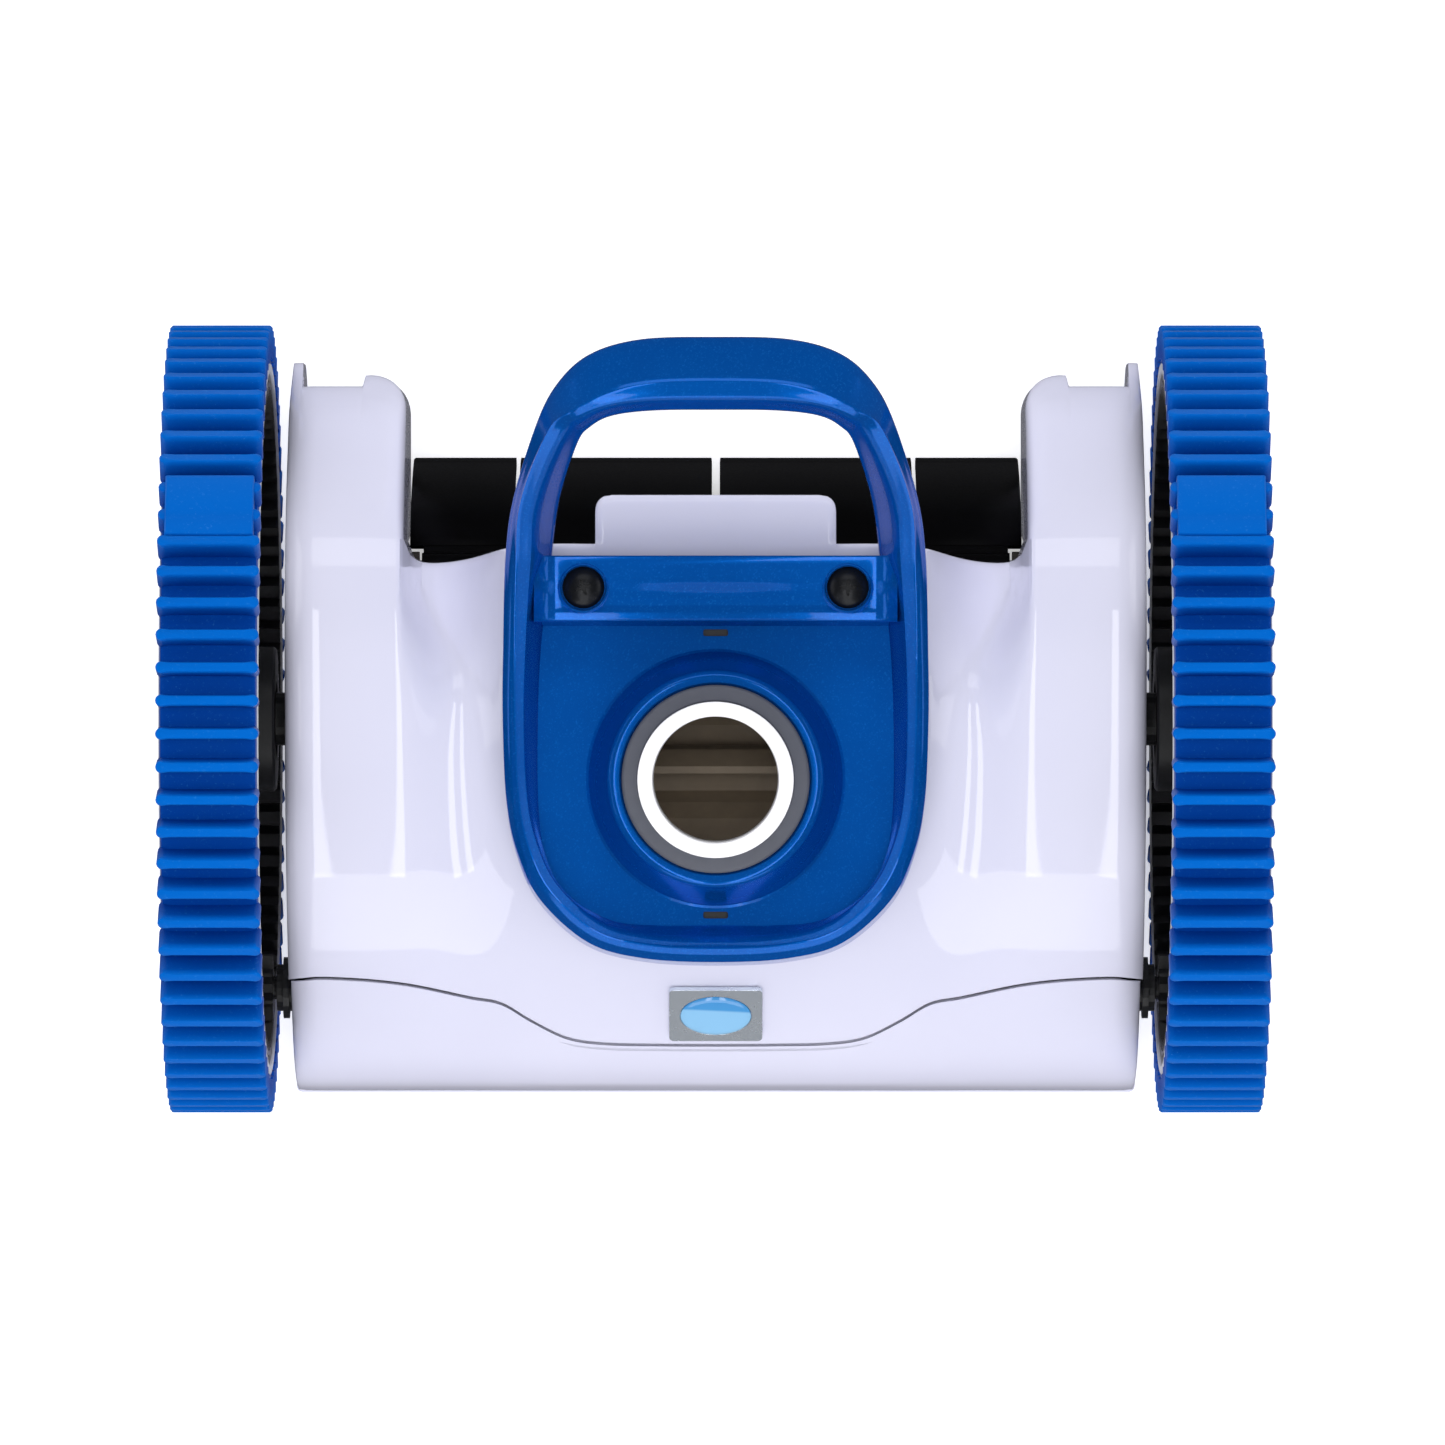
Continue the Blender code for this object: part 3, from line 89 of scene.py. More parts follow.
def linear(hex_colour):
    """An sRGB hex colour as linear red, green, blue and alpha."""
    channels = []
    for start in (1, 3, 5):
        value = int(hex_colour[start:start + 2], 16) / 255.0
        channels.append(value / 12.92 if value <= 0.04045 else ((value + 0.055) / 1.055) ** 2.4)
    return (*channels, 1.0)


def add_node(tree, kind, settings=(), links=()):
    """Adds a node, then sets its properties or sockets and links its inputs."""
    node = tree.nodes.new(kind)
    for key, value in dict(settings).items():
        if isinstance(key, str) and hasattr(node, key):
            setattr(node, key, value)
        else:
            node.inputs[key].default_value = value
    for key, socket in dict(links).items():
        tree.links.new(socket, node.inputs[key])
    return node


def new_material(name):
    material = bpy.data.materials.new(name)
    material.use_nodes = True
    return material, material.node_tree, material.node_tree.nodes["Principled BSDF"]


seamless_paper, tree, shader = new_material("seamless_paper")
shader.inputs["Base Color"].default_value = linear("#fbfbfd")
shader.inputs["Roughness"].default_value = 0.9
shader.inputs["Specular IOR Level"].default_value = 0.1
shader.inputs["Emission Color"].default_value = linear("#ffffff")
shader.inputs["Emission Strength"].default_value = 0.45
ground.data.materials.append(seamless_paper)
ground.visible_glossy = False

world = bpy.data.worlds.new("white_room")
bpy.context.scene.world = world
world.use_nodes = True
room = world.node_tree.nodes["Background"]
room.inputs["Color"].default_value = linear("#f1f2fb")
ray = add_node(world.node_tree, "ShaderNodeLightPath")
level = add_node(world.node_tree, "ShaderNodeMapRange", {"To Min": 0.5, "To Max": 0.12},
                 {"Value": ray.outputs["Is Glossy Ray"]})
world.node_tree.links.new(level.outputs["Result"], room.inputs["Strength"])

# Name, place, tilt in degrees, size, power, and whether it shows in reflections.
banks = (("fill_bank", (0.0, -0.05, 3.4), (0.0, 0.0, 0.0), (0.8, 0.8), 17.0, False),
         ("left_strip", (-0.42, -0.8, 2.5), (16.0, -8.0, 0.0), (0.35, 3.6), 14.0, True),
         ("right_strip", (0.42, -0.8, 2.5), (16.0, 8.0, 0.0), (0.35, 3.6), 14.0, True),
         ("left_side", (-2.0, 0.3, 0.9), (0.0, -69.0, 0.0), (1.0, 2.0), 7.0, True),
         ("right_side", (2.0, 0.3, 0.9), (0.0, 69.0, 0.0), (1.0, 2.0), 7.0, True),
         ("rear_bank", (0.0, 1.5, 1.9), (-38.0, 0.0, 0.0), (1.8, 0.6), 5.0, True),
         ("rear_fill", (0.0, 2.0, 2.4), (-40.0, 0.0, 0.0), (1.6, 1.0), 14.0, False),
         ("front_bank", (0.0, -1.9, 1.1), (60.0, 0.0, 0.0), (2.2, 0.8), 9.0, True))
for bank_name, place, tilt, size, power, in_reflections in banks:
    lamp = bpy.data.lights.new(bank_name, "AREA")
    lamp.shape = "RECTANGLE"
    lamp.size, lamp.size_y = size
    lamp.energy = power
    bank = bpy.data.objects.new(bank_name, lamp)
    bank.location = place
    bank.rotation_euler = [math.radians(angle) for angle in tilt]
    bank.visible_glossy = in_reflections
    bpy.context.scene.collection.objects.link(bank)


# ---- Upper body ----
# The white hood: one ABS moulding with two fenders, a valley beside each and
# a raised deck for the blue frame. Moulded in a polished tool, so it is glossy
# with the faintest ripple, and it clips down on the pan.

body_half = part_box("upper_body")[1][0]
shell_wall = 2.4 * mm
side_roll = 10.0 * mm
edge_round = 2.2 * mm
flank_round = 7.5 * mm
lobe_inner_x = 105.6 * mm
lobe_rear_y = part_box("upper_body")[1][1]
lobe_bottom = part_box("upper_body")[0][2]
valley_bottom = 79.0 * mm
tab_half = 40.6 * mm
tab_rear_y = 75.5 * mm
valley_line = ((-129.5, 34), (-125.5, 66), (-114, 95), (-90, 122), (-60, 141), (-30, 151),
               (0, 153), (25, 147), (45, 131), (61, 110), (80, 92))
lobe_line = ((-129.5, 34), (-125.5, 67), (-114, 98), (-90, 127), (-60, 148), (-30, 160.5),
             (0, 166), (35, 167), (70, 156), (98, 131), (106, 120), (113, 102), (123, 72))
deck_line = ((-129.5, 34), (-125.5, 66), (-114, 95), (-90, 123), (-76, 138), (-60, 149),
             (-40, 158), (-15, 165), (0, 167), (12, 167.5), (62, 167.5), (75.5, 165.5))
valley_rear = ((0, 58), (43, 59), (60, 58.8), (72, 57.2), (84, 54.4), (94, 53.2), (101, 53.8),
               (104.4, 56.8), (105.6, 61))
parting_line = ((0, -111.6), (20, -111.5), (39, -111), (51, -109), (63, -103), (73, -97),
                (83, -95), (107, -90), (133, -88), (146, -89))


def smooth_step(value):
    value = min(1.0, max(0.0, value))
    return value * value * (3.0 - 2.0 * value)


def along(points, at):
    """Height of a smooth line through (position, height) points in mm."""
    at = at / mm
    if at <= points[0][0]:
        return points[0][1] * mm
    if at >= points[-1][0]:
        return points[-1][1] * mm
    last = len(points) - 1
    k = max(i for i in range(last) if points[i][0] <= at)
    slopes = []
    for i in (k, k + 1):
        low, high = points[max(0, i - 1)], points[min(last, i + 1)]
        slopes.append((high[1] - low[1]) / (high[0] - low[0]))
    (x0, h0), (x1, h1) = points[k], points[k + 1]
    span = x1 - x0
    t = (at - x0) / span
    height = h0 + (h1 - h0) * t * t * (3.0 - 2.0 * t)
    height += slopes[0] * span * t * (1.0 - t) ** 2 - slopes[1] * span * t * t * (1.0 - t)
    return height * mm


def frame_distance(x, y):
    """About how far a point lies outside the blue frame's foot."""
    half = 71.7 * mm
    if y > 0:
        return x - half
    share = ((x / half) ** 2.6 + (-y / (83.4 * mm)) ** 2.6) ** (1 / 2.6)
    return (share - 1.0) * half


def hood_height(x, y):
    """Height of the white moulding's outer surface above the ground."""
    valley = along(valley_line, y)
    lobe = along(lobe_line, y)
    rear = smooth_step((y + 10.0 * mm) / (60.0 * mm))
    spread = (40.0 - 33.0 * rear) * mm
    share = smooth_step((x - lobe_inner_x - 1.5 * mm + spread) / spread)
    height = valley + (lobe - valley) * share
    height -= share * (x - 132.0 * mm) ** 2 / (600.0 * mm)
    away = frame_distance(x, y) / ((30.0 - 4.0 * rear) * mm)
    if away < 1.0:
        height += (along(deck_line, y) - height) * (1.0 - max(0.0, away)) ** 2
    return height


def rolled(distance, radius):
    """Drop of a rounded edge at a distance in from it."""
    over = radius - min(max(distance, 0.0), radius)
    return radius - math.sqrt(max(0.0, radius * radius - over * over))


def rear_edge(x):
    """Where the moulding ends at the rear: the deck's tab, or a fender."""
    if x < tab_half + 1e-6:
        over = max(0.0, x - (tab_half - 5.0 * mm))
        return tab_rear_y - 5.0 * mm + math.sqrt(max(0.0, (5.0 * mm) ** 2 - over ** 2))
    over = max(0.0, lobe_inner_x + 12.5 * mm - x)
    edge = lobe_rear_y - 12.5 * mm + math.sqrt(max(0.0, (12.5 * mm) ** 2 - over ** 2))
    notch = smooth_step((x - 120.0 * mm) / (0.9 * mm)) * smooth_step((142.0 * mm - x) / (0.6 * mm))
    post = smooth_step((x - 141.4 * mm) / (0.6 * mm))
    return edge - 4.2 * mm * notch + 4.7 * mm * post


def spaced(start, end, count, ends=()):
    """Even places from start to end, and extra ones close to the ends."""
    places = {round(start + (end - start) * k / count, 7) for k in range(count + 1)}
    for end_name, offsets in dict(ends).items():
        for offset in offsets:
            places.add(round(start + offset if end_name == "start" else end - offset, 7))
    return sorted(places)


round_steps = [edge_round * (1.0 - math.sin(math.radians(a))) for a in (15, 35, 55, 75)]
tab_columns = spaced(0.0, tab_half, 14, {"end": round_steps})
valley_columns = spaced(tab_half, lobe_inner_x, 34)[1:]
flank_steps = [flank_round * (1.0 - math.sin(math.radians(a))) for a in (12, 24, 36, 48, 60, 75)]
lobe_columns = spaced(lobe_inner_x, body_half - side_roll, 12, {"start": flank_steps})[1:]
lobe_columns += [120.1 * mm, 120.4 * mm, 120.7 * mm, 121.0 * mm]
roll_columns = [body_half - side_roll * (1.0 - math.sin(math.radians(a)))
                for a in (9, 18, 27, 36, 39.5, 41.5, 43.5, 45, 54, 63, 72, 81, 90)]
hood_columns = tab_columns + valley_columns + sorted(lobe_columns) + roll_columns
tab_end = len(tab_columns) - 1
valley_end = tab_end + len(valley_columns)
front_shares = spaced(0.0, 1.0, 44, {"start": (0.0012, 0.004), "end": (0.002, 0.006, 0.012)})
rear_shares = spaced(0.0, 1.0, 14, {"end": (0.003, 0.012, 0.03, 0.05)})[1:]
parting_gap = 0.35 * mm


def shell_piece(name, columns, rows_of, bears, height_of, wall_of):
    """Right half of a moulding as a grid, with walls hung from its edges."""
    bm = bmesh.new()
    grid = {}
    for i, x in enumerate(columns):
        for j, y in enumerate(rows_of(i, x)):
            grid[i, j] = bm.verts.new((x, y, height_of(i, j, x, y)))
    rows = j
    for i in range(len(columns) - 1):
        for j in range(rows):
            if bears(i, j):
                corners = (grid[i, j], grid[i + 1, j], grid[i + 1, j + 1], grid[i, j + 1])
                bm.faces.new(corners)
    bmesh.ops.delete(bm, geom=[v for v in bm.verts if not v.link_faces], context="VERTS")
    bmesh.ops.remove_doubles(bm, verts=bm.verts, dist=1e-6)
    edges = []
    for edge in bm.edges:
        at_middle = max(v.co.x for v in edge.verts) < 1e-6
        if edge.is_boundary and not at_middle and all(wall_of(v.co) for v in edge.verts):
            edges.append(edge)
    made = bmesh.ops.extrude_edge_only(bm, edges=edges)
    for item in made["geom"]:
        if isinstance(item, bmesh.types.BMVert):
            item.co = wall_of(item.co)
    bmesh.ops.recalc_face_normals(bm, faces=bm.faces)
    if sum(face.normal.z * face.calc_area() for face in bm.faces) < 0:
        bmesh.ops.reverse_faces(bm, faces=bm.faces)
    piece = finished(name, bm, faces_out=False)
    mirror = piece.modifiers.new("other_half", "MIRROR")
    mirror.merge_threshold = 0.00001
    wall = piece.modifiers.new("wall", "SOLIDIFY")
    wall.thickness = shell_wall
    wall.offset = -1.0
    return piece


def smooth_shade(piece, angle=38.0):
    piece.data.shade_smooth()
    piece.data.set_sharp_from_angle(angle=math.radians(angle))


def hood_rows(i, x):
    start = along(parting_line, x) + parting_gap
    edge = along(valley_rear, min(x, lobe_inner_x))
    end = rear_edge(x)
    between = tab_end < i < valley_end
    rows = [start + (edge - start) * share for share in front_shares]
    return rows + [edge if between else edge + (end - edge) * share for share in rear_shares]


def under_frame(x, y):
    """Where the hood is left open for the turbine and the hose."""
    return frame_distance(x, y) < -13.0 * mm and -60.0 * mm < y < 36.0 * mm


def hood_bears(i, j):
    x = hood_columns[i]
    if under_frame(x, hood_rows(i, x)[j]) and under_frame(hood_columns[i + 1], hood_rows(i, x)[j + 1]):
        return False
    return j < len(front_shares) - 1 or i < tab_end or i >= valley_end


def hood_top(i, j, x, y):
    height = hood_height(x, y) - rolled(body_half - x, side_roll)
    height -= rolled(y - along(parting_line, x) - parting_gap, 0.7 * mm)
    if x > lobe_inner_x - 1e-6:
        height -= rolled(rear_edge(x) - y, edge_round)
        if y > 61.0 * mm:
            height -= rolled(x - lobe_inner_x, flank_round) * smooth_step((y - 61 * mm) / (9 * mm))
    elif x > tab_half + 1e-6:
        height -= rolled(along(valley_rear, x) - y, edge_round)
    else:
        height -= rolled(rear_edge(x) - y, edge_round)
        if y > 59.0 * mm:
            height -= rolled(tab_half - x, edge_round)
    return height


def hood_wall(co):
    if co.x < 70.0 * mm and co.y < 50.0 * mm:
        return None
    if co.y < along(parting_line, co.x) + 2.0 * mm and co.x < body_half - 0.1 * mm:
        return None
    on_lobe = co.x > lobe_inner_x + 1e-5 or (co.x > lobe_inner_x - 1e-5 and co.y > 62.0 * mm)
    return Vector((co.x, co.y, lobe_bottom if on_lobe else valley_bottom))


def drop_into(piece, body, slot, material, *nodes):
    """Gives a finished piece its material and its body, and hides the CAD nodes it stands in for. The
    slot is not used.
    """
    piece.data.materials.clear()
    piece.data.materials.append(material)
    if nodes:
        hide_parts(*nodes)
    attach(piece, body)


hood = shell_piece("hood_shell", hood_columns, hood_rows, hood_bears, hood_top, hood_wall)
smooth_shade(hood)


def noise_level(tree, place, grain, detail, settings=()):
    """Noise from 0 to 1 whose features are about one grain across."""
    noise = add_node(tree, "ShaderNodeTexNoise",
                     {"Scale": 1 / grain, "Detail": detail, **dict(settings)},
                     {"Vector": place.outputs["Object"]})
    return noise.outputs["Fac"]


def two_tone(tree, level, low, high):
    """A colour that goes from one hex colour to another with a level."""
    mix = add_node(tree, "ShaderNodeMix", {"data_type": "RGBA", 6: linear(low),
                                           7: linear(high)}, {0: level})
    return mix.outputs[2]


def finish_follows(tree, shader, level, low, high):
    """Lets the roughness go from low to high with a level."""
    dull = add_node(tree, "ShaderNodeMapRange", {"To Min": low, "To Max": high},
                    {"Value": level})
    tree.links.new(dull.outputs["Result"], shader.inputs["Roughness"])


def relief_follows(tree, shader, level, strength, distance):
    """Raises the surface a little where a level is high."""
    bumps = add_node(tree, "ShaderNodeBump", {"Strength": strength, "Distance": distance},
                     {"Height": level})
    tree.links.new(bumps.outputs["Normal"], shader.inputs["Normal"])


gloss_white_abs, tree, shader = new_material("gloss_white_abs")
place = add_node(tree, "ShaderNodeTexCoord")
cloud = noise_level(tree, place, 45.0 * mm, 3.0)
tree.links.new(two_tone(tree, cloud, "#dadaec", "#dfdff0"), shader.inputs["Base Color"])
finish_follows(tree, shader, cloud, 0.03, 0.06)
ripple = noise_level(tree, place, 2.2 * mm, 2.0)
relief_follows(tree, shader, ripple, 0.012, 0.4 * mm)
shader.inputs["IOR"].default_value = 1.53
drop_into(hood, "chassis", "white_shell", gloss_white_abs, "upper_body")


# ---- Front skirt ----
# The white nose below the wavy parting line, moulded in the same ABS with a
# small lip round its lower edge. It lifts off for the front flaps.

skirt_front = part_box("front_skirt")[0][1]
skirt_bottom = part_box("front_skirt")[0][2]
lip_step = 0.8 * mm
skirt_shares = spaced(0.0, 1.0, 22, {"start": (0.01, 0.02), "end": (0.01, 0.03)})


def skirt_rows(i, x):
    end = along(parting_line, x) - parting_gap
    start = skirt_front + lip_step
    return [start + (end - start) * share for share in skirt_shares]


def skirt_top(i, j, x, y):
    height = hood_height(x, y) - rolled(body_half - lip_step - x, side_roll)
    return height - rolled(along(parting_line, x) - parting_gap - y, 0.7 * mm)


def skirt_wall(co):
    if co.y > along(parting_line, co.x) - 2.0 * mm and co.x < body_half - lip_step - 0.1 * mm:
        return None
    return Vector((co.x, co.y, skirt_bottom + 6.5 * mm))


skirt_columns = [min(x, body_half - side_roll + (x - body_half + side_roll)
                     * (side_roll - lip_step) / side_roll) if x > body_half - side_roll else x
                 for x in hood_columns]
skirt = shell_piece("nose_skirt", skirt_columns, skirt_rows, lambda i, j: True,
                    skirt_top, skirt_wall)
smooth_shade(skirt)
drop_into(skirt, "chassis", "white_shell", gloss_white_abs, "front_skirt")


def skin_over(bm, rings, around=False, closed=True, caps=False):
    """Faces between neighbouring rings of points, with caps on the end rings."""
    for here, following in zip(rings, rings[1:] + (rings[:1] if around else [])):
        for i in range(len(here) if closed else len(here) - 1):
            j = (i + 1) % len(here)
            corners = list(dict.fromkeys((here[i], here[j], following[j], following[i])))
            if len(corners) > 2:
                bm.faces.new(corners)
    if caps:
        bm.faces.new(rings[0][::-1])
        bm.faces.new(rings[-1])


def prism(name, outline, axis_low, axis_high, to_world):
    """A closed outline pushed from one height to another, then placed."""
    bm = bmesh.new()
    rings = [[bm.verts.new((u, v, w)) for u, v in outline] for w in (axis_low, axis_high)]
    skin_over(bm, rings, caps=True)
    return finished(name, bm, to_world)


def soften(piece, width, segments=3, angle=30.0):
    step = piece.modifiers.new("soft_edges", "BEVEL")
    step.width = width
    step.segments = segments
    step.limit_method = "ANGLE"
    step.angle_limit = math.radians(angle)
    step.harden_normals = False
    smooth_shade(piece, angle=50.0)


# Local X becomes world Y, local Y world Z and local Z world X.
across = Matrix(((0, 0, 1, 0), (1, 0, 0, 0), (0, 1, 0, 0), (0, 0, 0, 1)))


def lip_loop():
    """The lip's plan from the left rear corner round the nose to the right."""
    half = body_half
    rear = along(parting_line, half) - parting_gap
    corner = 2.0 * mm
    points = [(half, rear), (half, skirt_front + corner)]
    for k in range(1, 5):
        angle = -math.pi / 2 * k / 4
        points.append((half - corner + corner * math.cos(angle),
                       skirt_front + corner + corner * math.sin(angle)))
    left = [(-x, y) for x, y in reversed(points)]
    inner = []
    outer = points + left
    for x, y in outer:
        inner.append((x * (half - 3.0 * mm) / half, y + (3.0 * mm if y < rear - mm else 0.0)))
    return outer + inner[::-1]


skirt_lip = prism("skirt_lip", lip_loop(), skirt_bottom, skirt_bottom + 7.0 * mm, Matrix())
soften(skirt_lip, 0.5 * mm)
drop_into(skirt_lip, "chassis", "white_shell", gloss_white_abs)


# ---- Top frame ----
# The blue carrying frame: a pearl-tinted ABS moulding with a basin round the
# hose boss, a ledge that takes the two screws, and arms that rise to a handle.
# The pigment is fine mica, so it sparkles a little under the gloss.

floor_top = 172.0 * mm
floor_wall = 3.0 * mm
swivel_y = (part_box("hose_cuff")[0][1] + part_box("hose_cuff")[1][1]) / 2
frame_plan = ((0, -83.8), (25, -82.4), (44, -76.8), (60, -62), (67.5, -45), (70.6, -27),
              (71.7, 0), (71.5, 23), (70.6, 53), (67.9, 73), (60.2, 97), (53, 111), (42, 121),
              (25, 126), (0, 126.8))
ridge_plan = ((0, -76.9), (23, -75.8), (40.5, -71), (55.3, -57.6), (62.6, -42.5), (65.9, -26),
              (67, 0), (67, 23), (66.4, 53), (64.4, 73), (55.2, 95.5), (47.5, 101.9),
              (37, 107.2), (21.8, 110.7), (0, 111.5))
brink_plan = ((0, -74.2), (22, -73.2), (38.5, -68.6), (52.8, -55.8), (59.8, -41.4), (63, -25.5),
              (64, 0), (63.2, 26), (61.2, 53), (59.3, 73), (50.6, 94), (44.5, 99.6), (35.6, 103.6),
              (21.5, 105.7), (0, 106.1))
inner_plan = ((0, -69.4), (20, -69.4), (35.5, -67.6), (49.5, -59), (56.8, -47.2), (59.6, -30),
              (59.8, 0), (58.6, 26), (55.2, 53), (52.4, 73), (46.2, 91.6), (41.6, 97.2),
              (34, 100.8), (20, 102.4), (0, 102.6))
rim_line = ((-83.4, 181), (-60, 187), (-30, 191), (10, 196), (45, 205), (70, 218), (95, 233),
            (115, 242), (126.6, 246))
arm_line = ((50, 168.4), (62, 176), (80, 195), (100, 217), (115, 227), (126.6, 231))
drop_line = ((-83.4, 3.0), (40, 3.6), (65, 7.0), (95, 8.5), (126.8, 9.0))


def curved(p0, p1, p2, p3, t):
    """A point from p1 (t = 0) to p2 (t = 1) of the smooth curve through all four."""
    return [0.5 * (2 * b + (c - a) * t + (2 * a - 5 * b + 4 * c - d) * t * t
                   + (3 * b - a - 3 * c + d) * t ** 3) for a, b, c, d in zip(p0, p1, p2, p3)]


def closed_curve(points, steps):
    """Smooth closed loop through the right half's points and their mirror."""
    full = list(points) + [(-x, y) for x, y in points[-2:0:-1]]
    count = len(full)
    return [[mm * at for at in curved(full[k - 1], full[k], full[(k + 1) % count],
                                      full[(k + 2) % count], step / steps)]
            for k in range(count) for step in range(steps)]


def sill_height(x, y):
    if y > 62.0 * mm:
        return along(arm_line, y)
    seated = hood_height(abs(x), y) + 0.35 * mm
    return seated if y < 50.0 * mm else max(seated, along(arm_line, y))


def frame_section(outer, ridge, brink, inner):
    """Points round the wall's section, from its foot up, over and back."""
    rim = along(rim_line, outer[1])
    sill = sill_height(*outer)
    basin = smooth_step((52.0 * mm - outer[1]) / (16.0 * mm))
    shoulder = max(rim - along(drop_line, outer[1]), sill + 1.2 * mm)
    lean = 2.2 * mm * smooth_step((-outer[1] - 20.0 * mm) / (60.0 * mm)) + 0.4 * mm
    width = math.dist(outer, ridge)

    def between(a, b, share, z):
        return (a[0] + (b[0] - a[0]) * share, a[1] + (b[1] - a[1]) * share, z)

    in_sill = between(outer, inner, 0.35, 0.0)
    under = sill_height(in_sill[0], in_sill[1])
    foot = (floor_top - floor_wall) * basin + under * (1.0 - basin)
    step_top = floor_top * basin + (foot + (rim - foot) * 0.42) * (1.0 - basin)
    rise = rim - shoulder
    edge = lean / width
    flat = smooth_step((outer[1] - 45.0 * mm) / (30.0 * mm))
    points = [between(outer, ridge, 0.0, sill),
              between(outer, ridge, edge * 0.8, shoulder - 0.7 * mm),
              between(outer, ridge, edge, shoulder - 0.2 * mm),
              between(outer, ridge, edge + 0.5 * mm / width, shoulder + 0.15 * mm + rise * 0.05)]
    points += [between(outer, ridge, edge + (1.0 - edge) * share, shoulder + rise * up)
               for share, up in ((0.3, 0.45 - 0.13 * flat), (0.5, 0.68 - 0.16 * flat),
                                (0.7, 0.85 - 0.13 * flat), (0.86, 0.94 - 0.06 * flat))]
    points += [between(outer, ridge, 1.0 - 0.35 * mm / width, rim),
               between(ridge, brink, 0.05, rim),
               between(ridge, brink, 0.2, rim - 0.35 * mm),
               between(ridge, brink, 0.6, rim - 0.75 * mm),
               between(ridge, brink, 0.9, rim - 1.3 * mm)]
    drop = rim - 1.3 * mm - step_top
    points += [between(brink, inner, share, step_top + drop * up)
               for share, up in ((0.12, 0.9), (0.35, 0.66), (0.6, 0.38), (0.82, 0.14),
                                 (0.93, 0.04), (1.0, 0.0))]
    points += [between(brink, inner, 1.0 + 0.1 * basin, step_top - 0.1 * mm),
               between(brink, inner, 1.0 + 0.1 * basin, foot),
               between(outer, inner, 0.35, max(foot, under)),
               between(outer, inner, 0.3, under)]
    return points


curves = [closed_curve(plan, 8) for plan in (frame_plan, ridge_plan, brink_plan, inner_plan)]
band_bm = bmesh.new()
rings = [[band_bm.verts.new(spot) for spot in frame_section(*station)]
         for station in zip(*curves)]
skin_over(band_bm, rings, around=True)
frame_band = finished("frame_band", band_bm)
smooth_shade(frame_band, 34.0)

pearl_blue_abs, tree, shader = new_material("pearl_blue_abs")
place = add_node(tree, "ShaderNodeTexCoord")
flake = add_node(tree, "ShaderNodeTexVoronoi", {"Scale": 1 / (0.45 * mm)},
                 {"Vector": place.outputs["Object"]})
sparkle = add_node(tree, "ShaderNodeMapRange", {"From Min": 0.7, "From Max": 1.3},
                   {"Value": flake.outputs["Color"]})
drift = noise_level(tree, place, 30.0 * mm, 2.0)
depth_tint = two_tone(tree, drift, "#004ca0", "#0057b0")
mica = add_node(tree, "ShaderNodeMix", {"data_type": "RGBA", 7: linear("#1a74cc")},
                {0: sparkle.outputs["Result"], 6: depth_tint})
tree.links.new(mica.outputs[2], shader.inputs["Base Color"])
shader.inputs["Roughness"].default_value = 0.16
shader.inputs["Metallic"].default_value = 0.4
shader.inputs["Specular Tint"].default_value = linear("#2f8ce8")
shader.inputs["Coat Weight"].default_value = 0.3
shader.inputs["Coat Roughness"].default_value = 0.03
drop_into(frame_band, "chassis", "frame_blue", pearl_blue_abs, "swivel_frame")


def lathe(name, profile, steps, to_world, closed=True):
    """A profile of (radius, height) points turned about local Z."""
    bm = bmesh.new()
    columns = []
    for k in range(steps):
        angle = turn * k / steps
        column = []
        for radius, height in profile:
            if radius < 1e-7 and k:
                column.append(columns[0][len(column)])
            else:
                spot = (radius * math.cos(angle), radius * math.sin(angle), height)
                column.append(bm.verts.new(spot))
        columns.append(column)
    skin_over(bm, columns, around=True, closed=closed)
    piece = finished(name, bm, to_world)
    smooth_shade(piece, 32.0)
    return piece


def ring_round(cx, cy, radius, start, end, steps):
    """Points of an arc in degrees."""
    return [(cx + radius * math.cos(math.radians(start + (end - start) * k / steps)),
             cy + radius * math.sin(math.radians(start + (end - start) * k / steps)))
            for k in range(steps + 1)]


# The boss is a cone with a round shoulder and a sunk seat for the grey collar.
boss_top = 192.0 * mm
boss_rim = 36.0 * mm
boss_foot = 42.75 * mm
collar_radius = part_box("swivel_collar")[1][0]
seat_radius = collar_radius + 0.35 * mm
cuff_radius = 25.75 * mm
boss_profile = [(boss_foot + 0.9 * mm, floor_top + 0.05 * mm), (boss_foot, floor_top + 0.5 * mm),
                (boss_foot - 0.8 * mm, floor_top + 2.2 * mm),
                (boss_rim + 0.6 * mm, boss_top - 4.6 * mm)]
boss_profile += ring_round(boss_rim - 2.0 * mm, boss_top - 2.6 * mm, 2.6 * mm, 20, 90, 6)
boss_profile += [(seat_radius + 0.5 * mm, boss_top), (seat_radius, boss_top - 0.5 * mm),
                 (seat_radius, boss_top - 5.8 * mm), (cuff_radius + 0.5 * mm, boss_top - 5.8 * mm),
                 (cuff_radius + 0.5 * mm, floor_top - floor_wall),
                 (boss_foot + 0.9 * mm, floor_top - floor_wall)]
boss = lathe("hose_boss", boss_profile, 120, Matrix.Translation((0, swivel_y, 0)))
drop_into(boss, "chassis", "frame_blue", pearl_blue_abs)


def rounded_box(x0, y0, x1, y1, radius, steps=6):
    points = []
    for cx, cy, start in ((x1 - radius, y1 - radius, 0), (x0 + radius, y1 - radius, 90),
                          (x0 + radius, y0 + radius, 180), (x1 - radius, y0 + radius, 270)):
        points += ring_round(cx, cy, radius, start, start + 90, steps)
    return points


